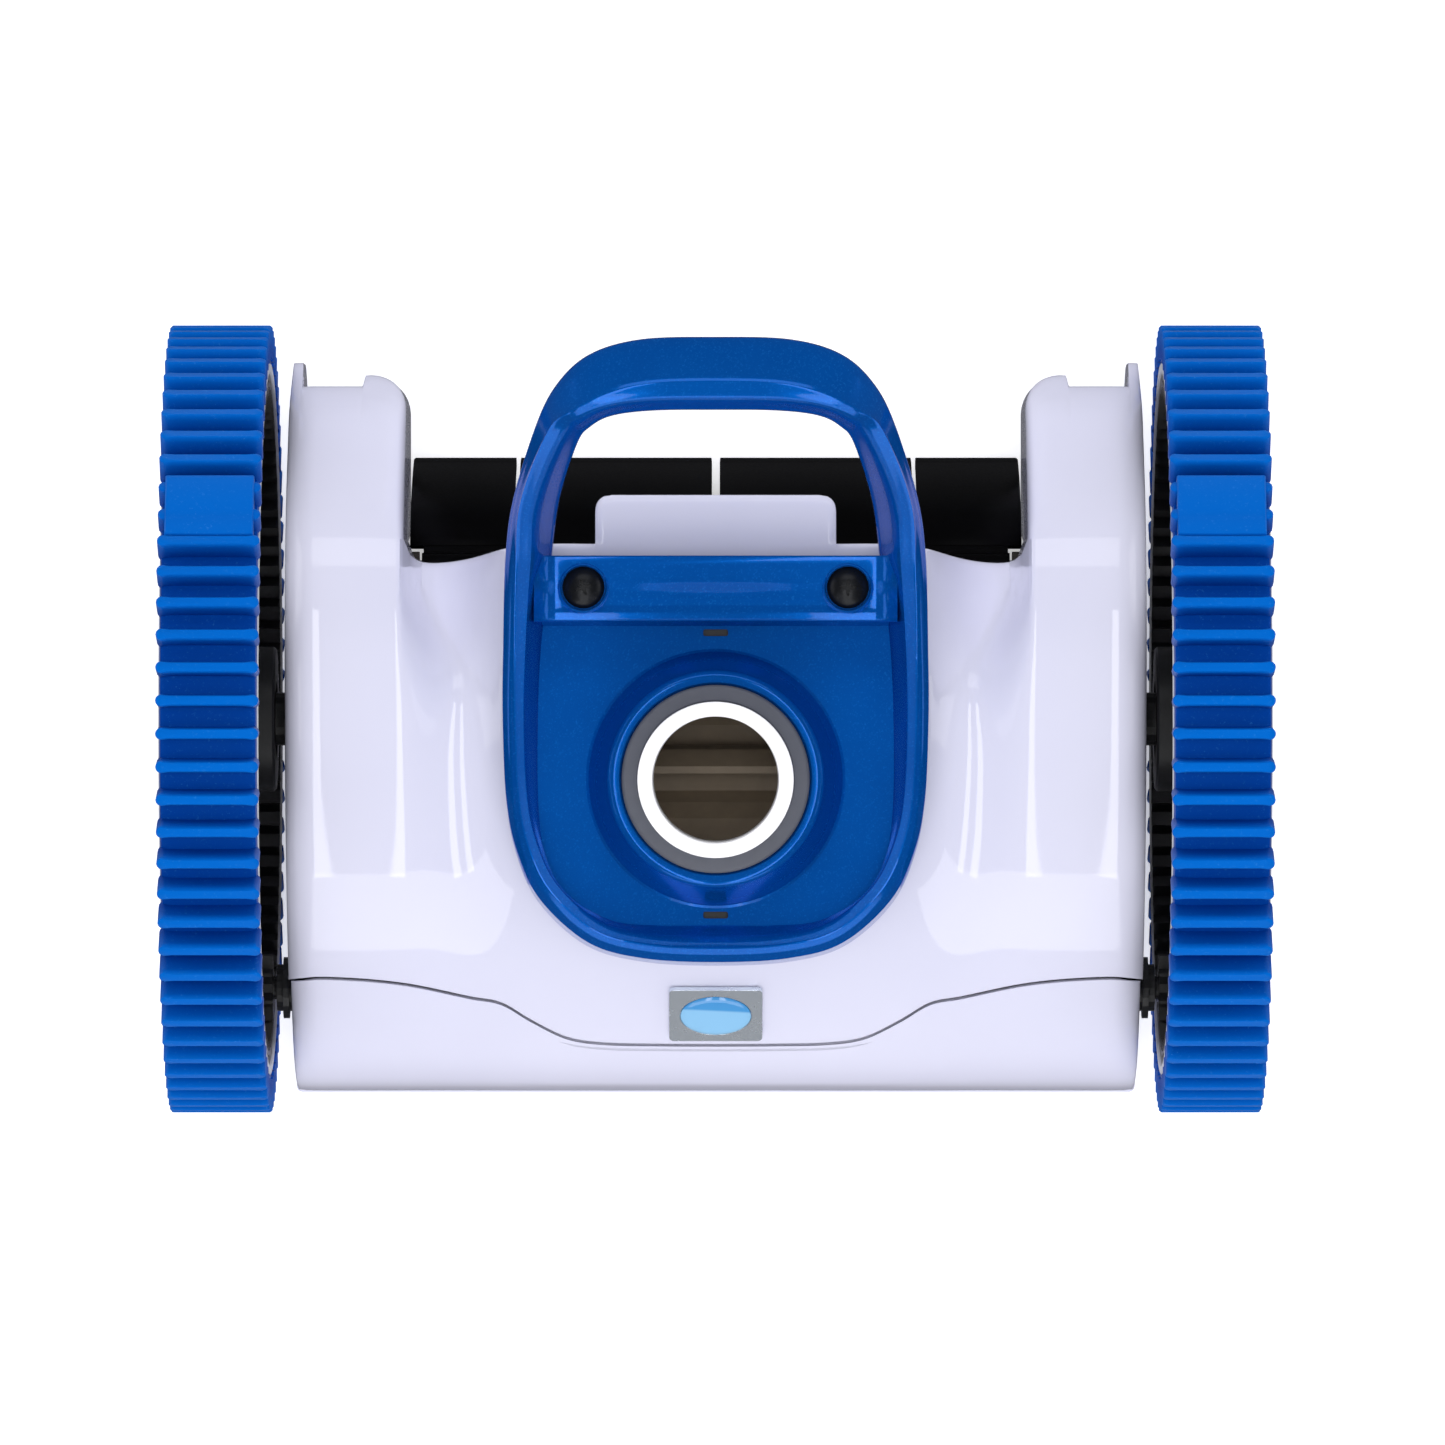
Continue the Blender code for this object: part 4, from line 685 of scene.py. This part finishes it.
def holed_plate(name, outlines, low, high):
    """A flat plate with holes, filled by Blender's own curve fill."""
    curve = bpy.data.curves.new(name, "CURVE")
    curve.dimensions = "2D"
    curve.fill_mode = "BOTH"
    curve.extrude = (high - low) / 2
    for outline in outlines:
        spline = curve.splines.new("POLY")
        spline.points.add(len(outline) - 1)
        for point, (x, y) in zip(spline.points, outline):
            point.co = (x, y, 0.0, 1.0)
        spline.use_cyclic_u = True
    drawn = bpy.data.objects.new(name, curve)
    bpy.context.scene.collection.objects.link(drawn)
    bpy.context.view_layer.update()
    mesh = bpy.data.meshes.new_from_object(drawn.evaluated_get(
        bpy.context.evaluated_depsgraph_get()))
    bpy.data.objects.remove(drawn, do_unlink=True)
    bm = bmesh.new()
    bm.from_mesh(mesh)
    bpy.data.meshes.remove(mesh)
    bmesh.ops.remove_doubles(bm, verts=bm.verts, dist=1e-6)
    return finished(name, bm, Matrix.Translation((0, 0, (low + high) / 2)), faces_out=False)


# Basin floor, with a drain slot before and behind the boss.
floor_half = 62.0 * mm
boss_hole = ring_round(0.0, swivel_y, boss_foot - 3.0 * mm, 0, 360, 72)[:-1]
slots = [rounded_box(-4.2 * mm, y - 1.15 * mm, 4.2 * mm, y + 1.15 * mm, 0.7 * mm, 3)
         for y in (29.0 * mm, -66.0 * mm)]
floor_plan = [(-floor_half, 40.0 * mm)]
floor_plan += ring_round(-floor_half + 30.0 * mm, -43.5 * mm, 30.0 * mm, 180, 270, 10)
floor_plan += ring_round(floor_half - 30.0 * mm, -43.5 * mm, 30.0 * mm, 270, 360, 10)
floor_plan += [(floor_half, 40.0 * mm)]
floor = holed_plate("basin_floor", [floor_plan, boss_hole] + slots, floor_top - floor_wall,
                    floor_top)
drop_into(floor, "chassis", "frame_blue", pearl_blue_abs)

# Cross ledge: a shallow scoop with a rolled front lip, moulded between the walls.
ledge_front = 32.5 * mm
ledge_rear = 54.7 * mm
ledge_top = 194.0 * mm
ledge_profile = [(ledge_rear, floor_top - 2.0 * mm), (ledge_rear, ledge_top - 0.5 * mm),
                 (ledge_rear - 0.5 * mm, ledge_top), (47.0 * mm, ledge_top - 0.25 * mm),
                 (45.6 * mm, ledge_top - 0.6 * mm), (43.0 * mm, ledge_top - 1.7 * mm),
                 (40.4 * mm, ledge_top - 2.3 * mm), (38.0 * mm, ledge_top - 2.4 * mm),
                 (36.0 * mm, ledge_top - 2.0 * mm), (34.8 * mm, ledge_top - 1.75 * mm)]
ledge_profile += ring_round(ledge_front + 1.4 * mm, ledge_top - 3.2 * mm, 1.4 * mm, 80, 180, 6)
ledge_profile += [(ledge_front + 0.2 * mm, floor_top + 1.6 * mm),
                  (ledge_front - 1.4 * mm, floor_top - 0.2 * mm),
                  (ledge_front - 1.4 * mm, floor_top - 2.0 * mm)]
ledge_bm = bmesh.new()
ledge_rings = []
for x in (-60.8, -59.6, -58.4, -57.0, -55.4, -53.5, 53.5, 55.4, 57.0, 58.4, 59.6, 60.8):
    lift = 6.0 * mm * (max(0.0, abs(x) - 53.5) / 7.3) ** 2
    ledge_rings.append([ledge_bm.verts.new((x * mm, y, z + (lift if z > 188.0 * mm else 0.0)))
                        for y, z in ledge_profile])
skin_over(ledge_bm, ledge_rings, caps=True)
ledge = finished("screw_ledge", ledge_bm)


def carve(piece, tool):
    """Takes a tool's shape out of a piece for good."""
    cut = piece.modifiers.new("carve", "BOOLEAN")
    cut.operation = "DIFFERENCE"
    cut.object = tool
    bpy.context.view_layer.update()
    graph = bpy.context.evaluated_depsgraph_get()
    carved = bpy.data.meshes.new_from_object(piece.evaluated_get(graph))
    piece.modifiers.clear()
    piece.data = carved
    bpy.data.objects.remove(tool, do_unlink=True)


for side in ("left", "right"):
    low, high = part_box("frame_screw_" + side)
    cx, cy = (low[0] + high[0]) / 2, (low[1] + high[1]) / 2
    round_plan = ring_round(cx, cy, (high[0] - low[0]) / 2 + 0.45 * mm, 0, 360, 48)[:-1]
    carve(ledge, prism("screw_well", round_plan, high[2] - 3.6 * mm, high[2] + 9.0 * mm, Matrix()))
smooth_shade(ledge, 40.0)
drop_into(ledge, "chassis", "frame_blue", pearl_blue_abs)


# ---- Frame screws ----
# Two black-coated stainless pan-head screws with a cross recess, driven down
# through round pockets at the ends of the ledge.

def grained(name, grain, detail, colours, roughness, relief=0.0):
    """A material whose colour, roughness and relief follow one noise field."""
    material, tree, shader = new_material(name)
    place = add_node(tree, "ShaderNodeTexCoord")
    level = noise_level(tree, place, grain, detail)
    tint = two_tone(tree, level, colours[0], colours[-1])
    tree.links.new(tint, shader.inputs["Base Color"])
    finish_follows(tree, shader, level, roughness[0], roughness[-1])
    if relief:
        relief_follows(tree, shader, level, relief, 0.2 * mm)
    return material, shader


black_coated_steel, shader = grained("black_coated_steel", 0.9 * mm, 4.0, ["#15171b"],
                                     [0.22, 0.4])
shader.inputs["Metallic"].default_value = 0.5

for side, sign in (("left", -1.0), ("right", 1.0)):
    low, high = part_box("frame_screw_" + side)
    cx, cy = (low[0] + high[0]) / 2, (low[1] + high[1]) / 2
    head_radius = (high[0] - low[0]) / 2
    head_low = high[2] - 3.4 * mm
    pocket_rim = [(head_radius + 1.7 * mm, ledge_top - 2.6 * mm),
                  (head_radius + 1.5 * mm, ledge_top - 0.4 * mm),
                  (head_radius + 0.9 * mm, ledge_top + 0.1 * mm),
                  (head_radius + 0.5 * mm, ledge_top - 0.5 * mm),
                  (head_radius + 0.4 * mm, ledge_top - 2.6 * mm)]
    pocket = lathe("screw_pocket_" + side, pocket_rim, 64, Matrix.Translation((cx, cy, 0)))
    drop_into(pocket, "chassis", "frame_blue", pearl_blue_abs)
    dome = [(0.0, high[2] + 0.6 * mm)]
    dome += [(head_radius * math.sin(math.radians(a)) / math.sin(math.radians(62)),
              high[2] + 0.6 * mm - (1.0 - math.cos(math.radians(a))) * 5.6 * mm)
             for a in (8, 18, 28, 38, 48, 56, 62)]
    dome += [(head_radius, head_low + 0.3 * mm), (head_radius - 0.3 * mm, head_low),
             (0.0, head_low)]
    screw = lathe("pan_screw_" + side, dome, 64, Matrix.Translation((cx, cy, 0)), closed=False)
    twist = math.radians(22.0) if sign < 0 else 0.0
    for quarter in (0.0, math.pi / 2):
        spin = Matrix.Translation((cx, cy, high[2])) @ Matrix.Rotation(twist + quarter, 4, "Z")
        slot_shape = [(-2.75 * mm, -0.35 * mm), (0.0, -0.85 * mm), (2.75 * mm, -0.35 * mm),
                      (2.75 * mm, 0.35 * mm), (0.0, 0.85 * mm), (-2.75 * mm, 0.35 * mm)]
        carve(screw, prism("cross_recess", slot_shape, -2.0 * mm, 3.0 * mm, spin))
    smooth_shade(screw, 30.0)
    drop_into(screw, "chassis", "black_screw", black_coated_steel, "frame_screw_" + side)


# ---- Hose swivel ----
# The white acetal cuff that takes the hose and the grey collar that turns
# with it in the boss. Both are round mouldings with a dull skin.

bore_radius = 20.9 * mm
cuff_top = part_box("hose_cuff")[1][2]
flange_top = floor_top - floor_wall - 1.0 * mm
cuff_profile = ring_round(cuff_radius - 0.9 * mm, cuff_top - 0.9 * mm, 0.9 * mm, 90, 0, 4)
cuff_profile += [(cuff_radius, flange_top), (cuff_radius + 3.0 * mm, flange_top),
                 (cuff_radius + 3.0 * mm, flange_top - 3.0 * mm),
                 (bore_radius, flange_top - 3.0 * mm)]
cuff_profile += ring_round(bore_radius + 0.7 * mm, cuff_top - 0.7 * mm, 0.7 * mm, 180, 90, 3)
cuff = lathe("hose_cuff_ring", cuff_profile, 120, Matrix.Translation((0, swivel_y, 0)))
white_acetal, shader = grained("white_acetal", 1.2 * mm, 5.0, ["#fbfbfc"], [0.38], 0.06)
drop_into(cuff, "hose_swivel", "white_cuff", white_acetal, "hose_cuff")

collar_low, collar_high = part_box("swivel_collar")
collar_top = collar_high[2]
collar_profile = [(cuff_radius + 0.3 * mm, collar_low[2]), (collar_radius, collar_low[2]),
                  (collar_radius, collar_top - 1.2 * mm)]
collar_profile += ring_round(collar_radius - 1.2 * mm, collar_top - 1.2 * mm, 1.2 * mm, 15, 90, 4)
collar_profile += [(cuff_radius + 0.8 * mm, collar_top),
                   (cuff_radius + 0.3 * mm, collar_top - 0.5 * mm)]
collar = lathe("swivel_collar_ring", collar_profile, 120, Matrix.Translation((0, swivel_y, 0)))
grey_nylon, shader = grained("grey_nylon", 4.0 * mm, 4.0, ["#50535d", "#595c66"], [0.45])
drop_into(collar, "hose_swivel", "collar_grey", grey_nylon, "swivel_collar")


# ---- Tyres ----
# Blue moulded rubber with seventy-six cross ribs whose round ends stand proud
# of the sidewall, and one smooth block. The rubber has a dry, dusty bloom, and
# the grooves between the ribs are painted a darker blue as shade.

rib_count = 76
rib_depth = 9.0 * mm
tyre_inner = 121.3 * mm
hump_angle = math.radians(32.4)
hump_spread = math.radians(10.6)

blue_tread_rubber, tree, shader = new_material("blue_tread_rubber")
place = add_node(tree, "ShaderNodeTexCoord")
bloom = noise_level(tree, place, 1.1 * mm, 6.0, {"Roughness": 0.7})
patches = noise_level(tree, place, 20.0 * mm, 2.0)
dust = add_node(tree, "ShaderNodeMapRange", {"From Min": 0.58, "From Max": 0.86},
                {"Value": bloom})
dusty = add_node(tree, "ShaderNodeMath", {"operation": "MULTIPLY"},
                 {0: dust.outputs["Result"], 1: patches})
from_axle = add_node(tree, "ShaderNodeVectorMath", {"operation": "MULTIPLY_ADD",
                                                    1: (0.0, 1.0, 1.0), 2: (0.0, 0.0, -axle_z)},
                     {0: place.outputs["Object"]})
reach = add_node(tree, "ShaderNodeVectorMath", {"operation": "LENGTH"},
                 {0: from_axle.outputs["Vector"]})
# Painted shade: the blue darkens from the rib crests down into the grooves between the ribs, by
# distance from the axle.
groove_shade_depth = add_node(tree, "ShaderNodeMapRange", {"From Min": 125.0 * mm, "From Max": 133.6 * mm},
                    {"Value": reach.outputs["Value"]})
painted_groove_shade = two_tone(tree, groove_shade_depth.outputs["Result"], "#00409a", "#005fbb")
rubber_blue = add_node(tree, "ShaderNodeMix", {"data_type": "RGBA", 7: linear("#4a97dd")},
                       {0: dusty.outputs["Value"], 6: painted_groove_shade})
relief_follows(tree, shader, bloom, 0.18, 0.3 * mm)
tree.links.new(rubber_blue.outputs[2], shader.inputs["Base Color"])
shader.inputs["Roughness"].default_value = 0.45
shader.inputs["Specular IOR Level"].default_value = 0.35
shader.inputs["Specular Tint"].default_value = linear("#3f90f0")


def rib_outline(half_length):
    """Plan of one rib: a thin waist and round, slightly fatter ends."""
    waist = 1.7 * mm
    end = 2.0 * mm
    points = []
    for start, direction in ((-90, 1), (90, -1)):
        centre = direction * (half_length - end)
        points.append((direction * (half_length - 4.6 * mm), -direction * waist))
        points += ring_round(centre, 0.0, end, start - 20, start + 200, 8)
        points.append((direction * (half_length - 4.6 * mm), direction * waist))
    return points


def tyre_tread(name, low, high):
    """The carcass, its ribs and the smooth block, as one mesh."""
    hump_at = math.pi / 2 - hump_angle
    middle = (low[0] + high[0]) / 2
    radius = (high[1] - low[1]) / 2
    half = (high[0] - low[0]) / 2
    base = radius - rib_depth
    bm = bmesh.new()
    wall_in = half - 0.9 * mm
    carcass = [(tyre_inner, -wall_in), (tyre_inner, wall_in), (base - 2.2 * mm, wall_in),
               (base - 0.6 * mm, wall_in - 0.5 * mm), (base, wall_in - 2.0 * mm),
               (base, -wall_in + 2.0 * mm), (base - 0.6 * mm, -wall_in + 0.5 * mm),
               (base - 2.2 * mm, -wall_in)]
    steps = rib_count * 3
    loops = []
    for k in range(steps):
        angle = turn * k / steps
        loops.append([bm.verts.new((middle + h, r * math.cos(angle), axle_z + r * math.sin(angle)))
                      for r, h in carcass])
    skin_over(bm, loops, around=True)
    outline = rib_outline(half)
    soft = 0.45 * mm
    for k in range(rib_count):
        angle = hump_at - math.radians(1.0) + turn * (k + 0.5) / rib_count
        out_y, out_z = math.cos(angle), math.sin(angle)
        stack = []
        crest = radius - (1.6 * mm if k in (0, rib_count - 1) else 0.0)
        levels = ((base - 2.0 * mm, 1.12), (crest - 2.5 * mm, 1.0), (crest - soft, 1.0),
                  (crest, 1.0 - soft / (2.0 * mm)))
        for level, (r, scale) in enumerate(levels):
            inset = soft if level == len(levels) - 1 else 0.0
            ring = []
            for u, v in outline:
                across_u = u - math.copysign(inset, u)
                side = v * scale
                ring.append(bm.verts.new((middle + across_u, r * out_y - side * out_z,
                                          axle_z + r * out_z + side * out_y)))
            stack.append(ring)
        skin_over(bm, stack, caps=True)
    # The smooth block: two flats that meet in a low crease, under round edges.
    block_half = half - 2.3 * mm
    spread = hump_spread / 2
    stations = ((-1.0, base - 1.0 * mm), (-0.97, radius - 1.0 * mm), (-0.9, radius - 0.15 * mm),
                (-0.82, radius), (-0.1, radius - 0.35 * mm), (0.2, radius - 0.8 * mm),
                (0.3, radius - 1.0 * mm), (0.4, radius - 1.0 * mm), (0.84, radius - 0.4 * mm),
                (0.93, radius - 0.6 * mm), (0.98, radius - 1.4 * mm), (1.0, base - 1.0 * mm))
    lanes = []
    for side in (-block_half, -block_half + 0.5 * mm, block_half - 0.5 * mm, block_half):
        drop = 0.5 * mm if abs(side) == block_half else 0.0
        lane = []
        for share, r in stations:
            angle = hump_at + spread * share
            r = max(base - 1.0 * mm, r - drop)
            lane.append(bm.verts.new((middle + side, r * math.cos(angle),
                                      axle_z + r * math.sin(angle))))
        lanes.append(lane)
    skin_over(bm, lanes, closed=False, caps=True)
    bottom = [lane[0] for lane in lanes] + [lane[-1] for lane in lanes[::-1]]
    bm.faces.new(bottom)
    return finished(name, bm)


for side in ("left", "right"):
    tyre = tyre_tread(side + "_tread", *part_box(side + "_tyre"))
    smooth_shade(tyre, 42.0)
    drop_into(tyre, side + "_wheel", "tyre_blue", blue_tread_rubber, side + "_tyre")


# ---- Rims, hubs and caps ----
# A light grey nylon rim holds the tyre; a black glass-filled nylon hub with six
# spokes is pressed inside it, with a grey cap over the axle. Dull moulded skins.

light_grey_nylon, shader = grained("light_grey_nylon", 3.0 * mm, 4.0, ["#b9bbc0", "#c6c8cd"],
                                   [0.4])
black_filled_nylon, shader = grained("black_filled_nylon", 0.8 * mm, 5.0,
                                     ["#0b0c0e", "#191a1d"], [0.38], 0.12)

spoke_count = 6
for side, sign in (("left", -1.0), ("right", 1.0)):
    low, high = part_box(side + "_rim")
    rim_outer = (high[1] - low[1]) / 2
    rim_wall = 3.6 * mm
    middle = (low[0] + high[0]) / 2
    half = (high[0] - low[0]) / 2
    wheel_place = Matrix.Translation((middle, 0, axle_z)) @ across
    rim_profile = [(rim_outer, half - 0.6 * mm), (rim_outer, -half + 0.6 * mm),
                   (rim_outer - 0.6 * mm, -half), (rim_outer - rim_wall + 0.6 * mm, -half),
                   (rim_outer - rim_wall, -half + 0.6 * mm), (rim_outer - rim_wall, half - 0.6 * mm),
                   (rim_outer - rim_wall + 0.6 * mm, half), (rim_outer - 0.6 * mm, half)]
    rim = lathe(side + "_rim_ring", rim_profile, 144, wheel_place)
    drop_into(rim, side + "_wheel", "rim_grey", light_grey_nylon, side + "_rim")

    low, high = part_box(side + "_hub")
    hub_outer = (high[1] - low[1]) / 2
    out_face = (high[0] if sign > 0 else -low[0]) - abs(middle)
    in_face = (low[0] if sign > 0 else -high[0]) - abs(middle)
    boss_radius = 24.5 * mm
    bore = 12.6 * mm
    disc = out_face - 9.0 * mm
    drum = hub_outer - 3.0 * mm
    profile = [(hub_outer, out_face - 0.5 * mm), (hub_outer, out_face - 14.0 * mm),
               (drum, out_face - 14.0 * mm), (drum, disc - 4.5 * mm),
               (drum - 1.5 * mm, disc - 3.0 * mm), (boss_radius + 2.0 * mm, disc - 3.0 * mm),
               (boss_radius, disc - 5.0 * mm), (boss_radius, in_face + 0.8 * mm),
               (boss_radius - 0.8 * mm, in_face), (bore + 0.5 * mm, in_face),
               (bore, in_face + 0.5 * mm), (bore, out_face - 5.0 * mm),
               (boss_radius + 7.0 * mm, out_face - 5.0 * mm),
               (boss_radius + 8.0 * mm, out_face - 6.0 * mm),
               (boss_radius + 9.5 * mm, disc + 0.3 * mm), (boss_radius + 11.0 * mm, disc),
               (drum - 2.0 * mm, disc), (drum - 0.4 * mm, disc + 1.2 * mm),
               (drum, out_face - 0.5 * mm), (drum + 0.5 * mm, out_face),
               (hub_outer - 0.5 * mm, out_face)]
    hub = lathe(side + "_hub_disc", [(r, sign * h) for r, h in profile], 144, wheel_place)
    for k in range(spoke_count):
        start = 360.0 / spoke_count * k + 9.0
        window = ring_round(0, 0, hub_outer - 22.0 * mm, start, start + 42.0, 14)
        window += ring_round(0, 0, 46.0 * mm, start + 38.0, start + 4.0, 10)
        cutter = prism("hub_window", window, -30.0 * mm, 30.0 * mm, wheel_place)
        round_off = cutter.modifiers.new("round", "BEVEL")
        round_off.width = 4.0 * mm
        round_off.segments = 3
        round_off.limit_method = "ANGLE"
        round_off.angle_limit = math.radians(40.0)
        carve(hub, cutter)
    smooth_shade(hub, 32.0)
    drop_into(hub, side + "_wheel", "black_nylon", black_filled_nylon, side + "_hub")

    low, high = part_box(side + "_hub_cap")
    cap_radius = (high[1] - low[1]) / 2
    cap_in = (low[0] if sign > 0 else -high[0]) - abs(middle)
    cap_out = (high[0] if sign > 0 else -low[0]) - abs(middle)
    cap_profile = [(0.0, cap_out - 1.2 * mm), (8.0 * mm, cap_out - 1.2 * mm),
                   (9.0 * mm, cap_out - 0.6 * mm), (11.0 * mm, cap_out), (20.0 * mm, cap_out)]
    cap_profile += ring_round(cap_radius - 5.0 * mm, cap_out - 2.6 * mm, 2.6 * mm, 90, 40, 5)
    cap_profile += [(cap_radius - 0.3 * mm, cap_in + 1.4 * mm), (cap_radius, cap_in + 0.6 * mm),
                    (cap_radius, cap_in), (0.0, cap_in)]
    cap = lathe(side + "_axle_cap", [(r, sign * h) for r, h in cap_profile], 96, wheel_place,
                closed=False)
    drop_into(cap, side + "_wheel", "collar_grey", grey_nylon, side + "_hub_cap")


# ---- Badge ----
# A bright frame round a domed blue lens on the nose. The lens carries a plain
# wave stripe and no mark. Both snap into the hood on its slope.

badge_low, badge_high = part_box("badge_bezel")
badge_y = (badge_low[1] + badge_high[1]) / 2
run = 5.0 * mm
slope = math.atan2(hood_height(0, badge_y + run) - hood_height(0, badge_y - run), 2 * run)
badge_place = (Matrix.Translation((0, badge_y, hood_height(0, badge_y)))
               @ Matrix.Rotation(slope, 4, "X"))
wide = 31.7 * mm / 2
deep = 17.7 * mm / 2 / math.cos(slope)
bezel_outer = rounded_box(-wide, -deep, wide, deep, 1.6 * mm, 4)
lens_wide = 12.0 * mm
lens_deep = 6.5 * mm / math.cos(slope)
lens_plan = [(lens_wide * math.cos(turn * k / 64), lens_deep * math.sin(turn * k / 64))
             for k in range(64)]
plate = holed_plate("badge_plate", [bezel_outer, [(x * 1.02, y * 1.02) for x, y in lens_plan]],
                    0.2 * mm, 1.9 * mm)
plate.data.transform(badge_place)
soften(plate, 0.35 * mm, 2)
silver_foil, shader = grained("silver_foil", 3.0 * mm, 2.0, ["#e4ecf2"], [0.18, 0.32])
shader.inputs["Metallic"].default_value = 0.75
drop_into(plate, "chassis", "badge_silver", silver_foil, "badge_bezel")

dome_bm = bmesh.new()
dome_rings = []
for share, rise in ((1.0, 0.3), (1.0, 1.9), (0.94, 2.3), (0.8, 2.6), (0.55, 2.85), (0.3, 2.95)):
    dome_rings.append([dome_bm.verts.new((x * share, y * share, rise * mm)) for x, y in lens_plan])
dome_rings.append([dome_bm.verts.new((0, 0, 3.0 * mm))] * len(lens_plan))
skin_over(dome_bm, dome_rings)
dome_bm.faces.new(dome_rings[0][::-1])
lens = finished("badge_lens", dome_bm, badge_place)
smooth_shade(lens, 40.0)
printed_resin, tree, shader = new_material("printed_resin")
place = add_node(tree, "ShaderNodeTexCoord")
wave = add_node(tree, "ShaderNodeTexWave", {"bands_direction": "Y", "Scale": 1 / 0.062,
                                            "Distortion": 3.0, "Detail": 0.0,
                                            "Detail Scale": 0.4},
                {"Vector": place.outputs["Object"]})
band_edge = add_node(tree, "ShaderNodeMapRange", {"From Min": 0.45, "From Max": 0.55},
                     {"Value": wave.outputs["Fac"]})
water = two_tone(tree, band_edge.outputs["Result"], "#4c9ad6", "#8fc6ec")
tree.links.new(water, shader.inputs["Base Color"])
shader.inputs["Roughness"].default_value = 0.08
shader.inputs["Coat Weight"].default_value = 0.8
drop_into(lens, "chassis", "badge_blue", printed_resin, "badge_emblem")


# ---- Rear and front flaps ----
# Black moulded rubber leaves, hung on steel pins. Each bends down from a thick
# root to a tip with a rolled bead, and its outer corners are round.

black_flap_rubber, shader = grained("black_flap_rubber", 0.9 * mm, 6.0, ["#030304"],
                                    [0.3, 0.5], 0.1)
shader.inputs["Specular IOR Level"].default_value = 0.08


def leaf(name, line, x0, x1, wall, bead):
    """A bent leaf between two ends across, with round corners at its tip."""
    full = [line[0], *line, line[-1]]
    path = [curved(*full[k:k + 4], step / 6) for k in range(len(line) - 1) for step in range(6)]
    path.append(line[-1])
    length = [0.0]
    for (y0, z0), (y1, z1) in zip(path, path[1:]):
        length.append(length[-1] + math.hypot(y1 - y0, z1 - z0))
    corner = 3.0 * mm
    bm = bmesh.new()
    rings = []
    for k, (y, z) in enumerate(path):
        y0, z0 = path[max(0, k - 1)]
        y1, z1 = path[min(len(path) - 1, k + 1)]
        size = math.hypot(y1 - y0, z1 - z0)
        ny, nz = -(z1 - z0) / size, (y1 - y0) / size
        left = length[-1] - length[k]
        pull = corner - math.sqrt(max(0.0, corner ** 2 - max(0.0, corner - left) ** 2))
        half = wall / 2 + bead * smooth_step(1.0 - abs(left - 2.0 * mm) / (3.5 * mm))
        half *= 0.45 if k == len(path) - 1 else 1.0
        soft = 0.6 * mm
        a, b = x0 + pull, x1 - pull
        ring = [bm.verts.new((x, y + ny * off, z + nz * off)) for x, off in
                ((a, -half + soft), (a, half - soft), (a + soft, half), (b - soft, half),
                 (b, half - soft), (b, -half + soft), (b - soft, -half), (a + soft, -half))]
        rings.append(ring)
    skin_over(bm, rings, caps=True)
    piece = finished(name, bm)
    smooth_shade(piece, 45.0)
    return piece


joints = {joint["name"]: joint for joint in frame["record"]["behaviour"]["joints"]}
rear_shape = ((6.2, -3.4), (10.0, -5.6), (18.0, -13.0), (25.0, -25.0), (31.0, -40.0),
              (37.0, -60.0))
front_shape = ((0.4, -5.8), (1.0, -12.0), (4.0, -26.0))
flap_names = [node for node in frame["nodes"] if "_flap_" in node]
for name in flap_names:
    hinge = joints[name + "_swing"]["pos_m"]
    shape = rear_shape if name.startswith("rear") else front_shape
    low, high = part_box(name)
    line = [(hinge[1] + y * mm, hinge[2] + z * mm) for y, z in shape]
    reach_left = 0.7 * mm if low[0] < -100.0 * mm else 0.15 * mm
    reach_right = 0.7 * mm if high[0] > 100.0 * mm else 0.15 * mm
    blade = leaf(name + "_leaf", line, low[0] - reach_left, high[0] + reach_right, 2.8 * mm,
                 0.4 * mm)
    drop_into(blade, name, "flap_black", black_flap_rubber)


# ---- Carried-over parts ----
# Pan, skids, turbine, gears, bearings, axles and pins keep their CAD meshes,
# with soft moulded edges and the finish of what each is made of.

brown_filled_pp, shader = grained("brown_filled_pp", 6.0 * mm, 4.0, ["#a3937f", "#b8a68f"],
                                  [0.4])
dark_pan_abs, shader = grained("dark_pan_abs", 1.5 * mm, 5.0, ["#2b2723", "#38332e"], [0.5], 0.1)
natural_acetal, shader = grained("natural_acetal", 4.0 * mm, 3.0, ["#e4e2da", "#eeece6"], [0.35])
stainless_steel, shader = grained("stainless_steel", 0.6 * mm, 3.0, ["#c9ccd0"], [0.2, 0.34])
shader.inputs["Metallic"].default_value = 1.0

# Painted shade: black plates under the basin's drain slots make the slots read dark from above.
for place_name, slot_y in (("front", -66.0 * mm), ("rear", 29.0 * mm)):
    shade_plate = prism("drain_shade_plate_" + place_name,
                  rounded_box(-6.0 * mm, slot_y - 2.6 * mm, 6.0 * mm, slot_y + 2.6 * mm, mm),
                  floor_top - floor_wall - 1.2 * mm, floor_top - floor_wall - 0.1 * mm, Matrix())
    soften(shade_plate, 0.2 * mm, 2)
    drop_into(shade_plate, "chassis", "black_nylon", black_filled_nylon)

slot_materials = {"dark_pan": dark_pan_abs, "black_nylon": black_filled_nylon,
                  "steel": stainless_steel, "collar_grey": grey_nylon,
                  "white_gear": natural_acetal, "vane_brown": brown_filled_pp,
                  "flap_black": black_flap_rubber}
slot_of = {part["node"]: part["material_slot"] for part in frame["record"]["subparts"]}
for node, slot in slot_of.items():
    carried = bpy.data.objects.get(node)
    if carried is None or slot not in slot_materials or carried.hide_render:
        continue
    for k in range(len(carried.material_slots)):
        carried.material_slots[k].material = slot_materials[slot]
    edge = carried.modifiers.new("moulded_edge", "BEVEL")
    edge.width = 0.25 * mm
    edge.segments = 2
    edge.limit_method = "ANGLE"
    edge.angle_limit = math.radians(50.0)
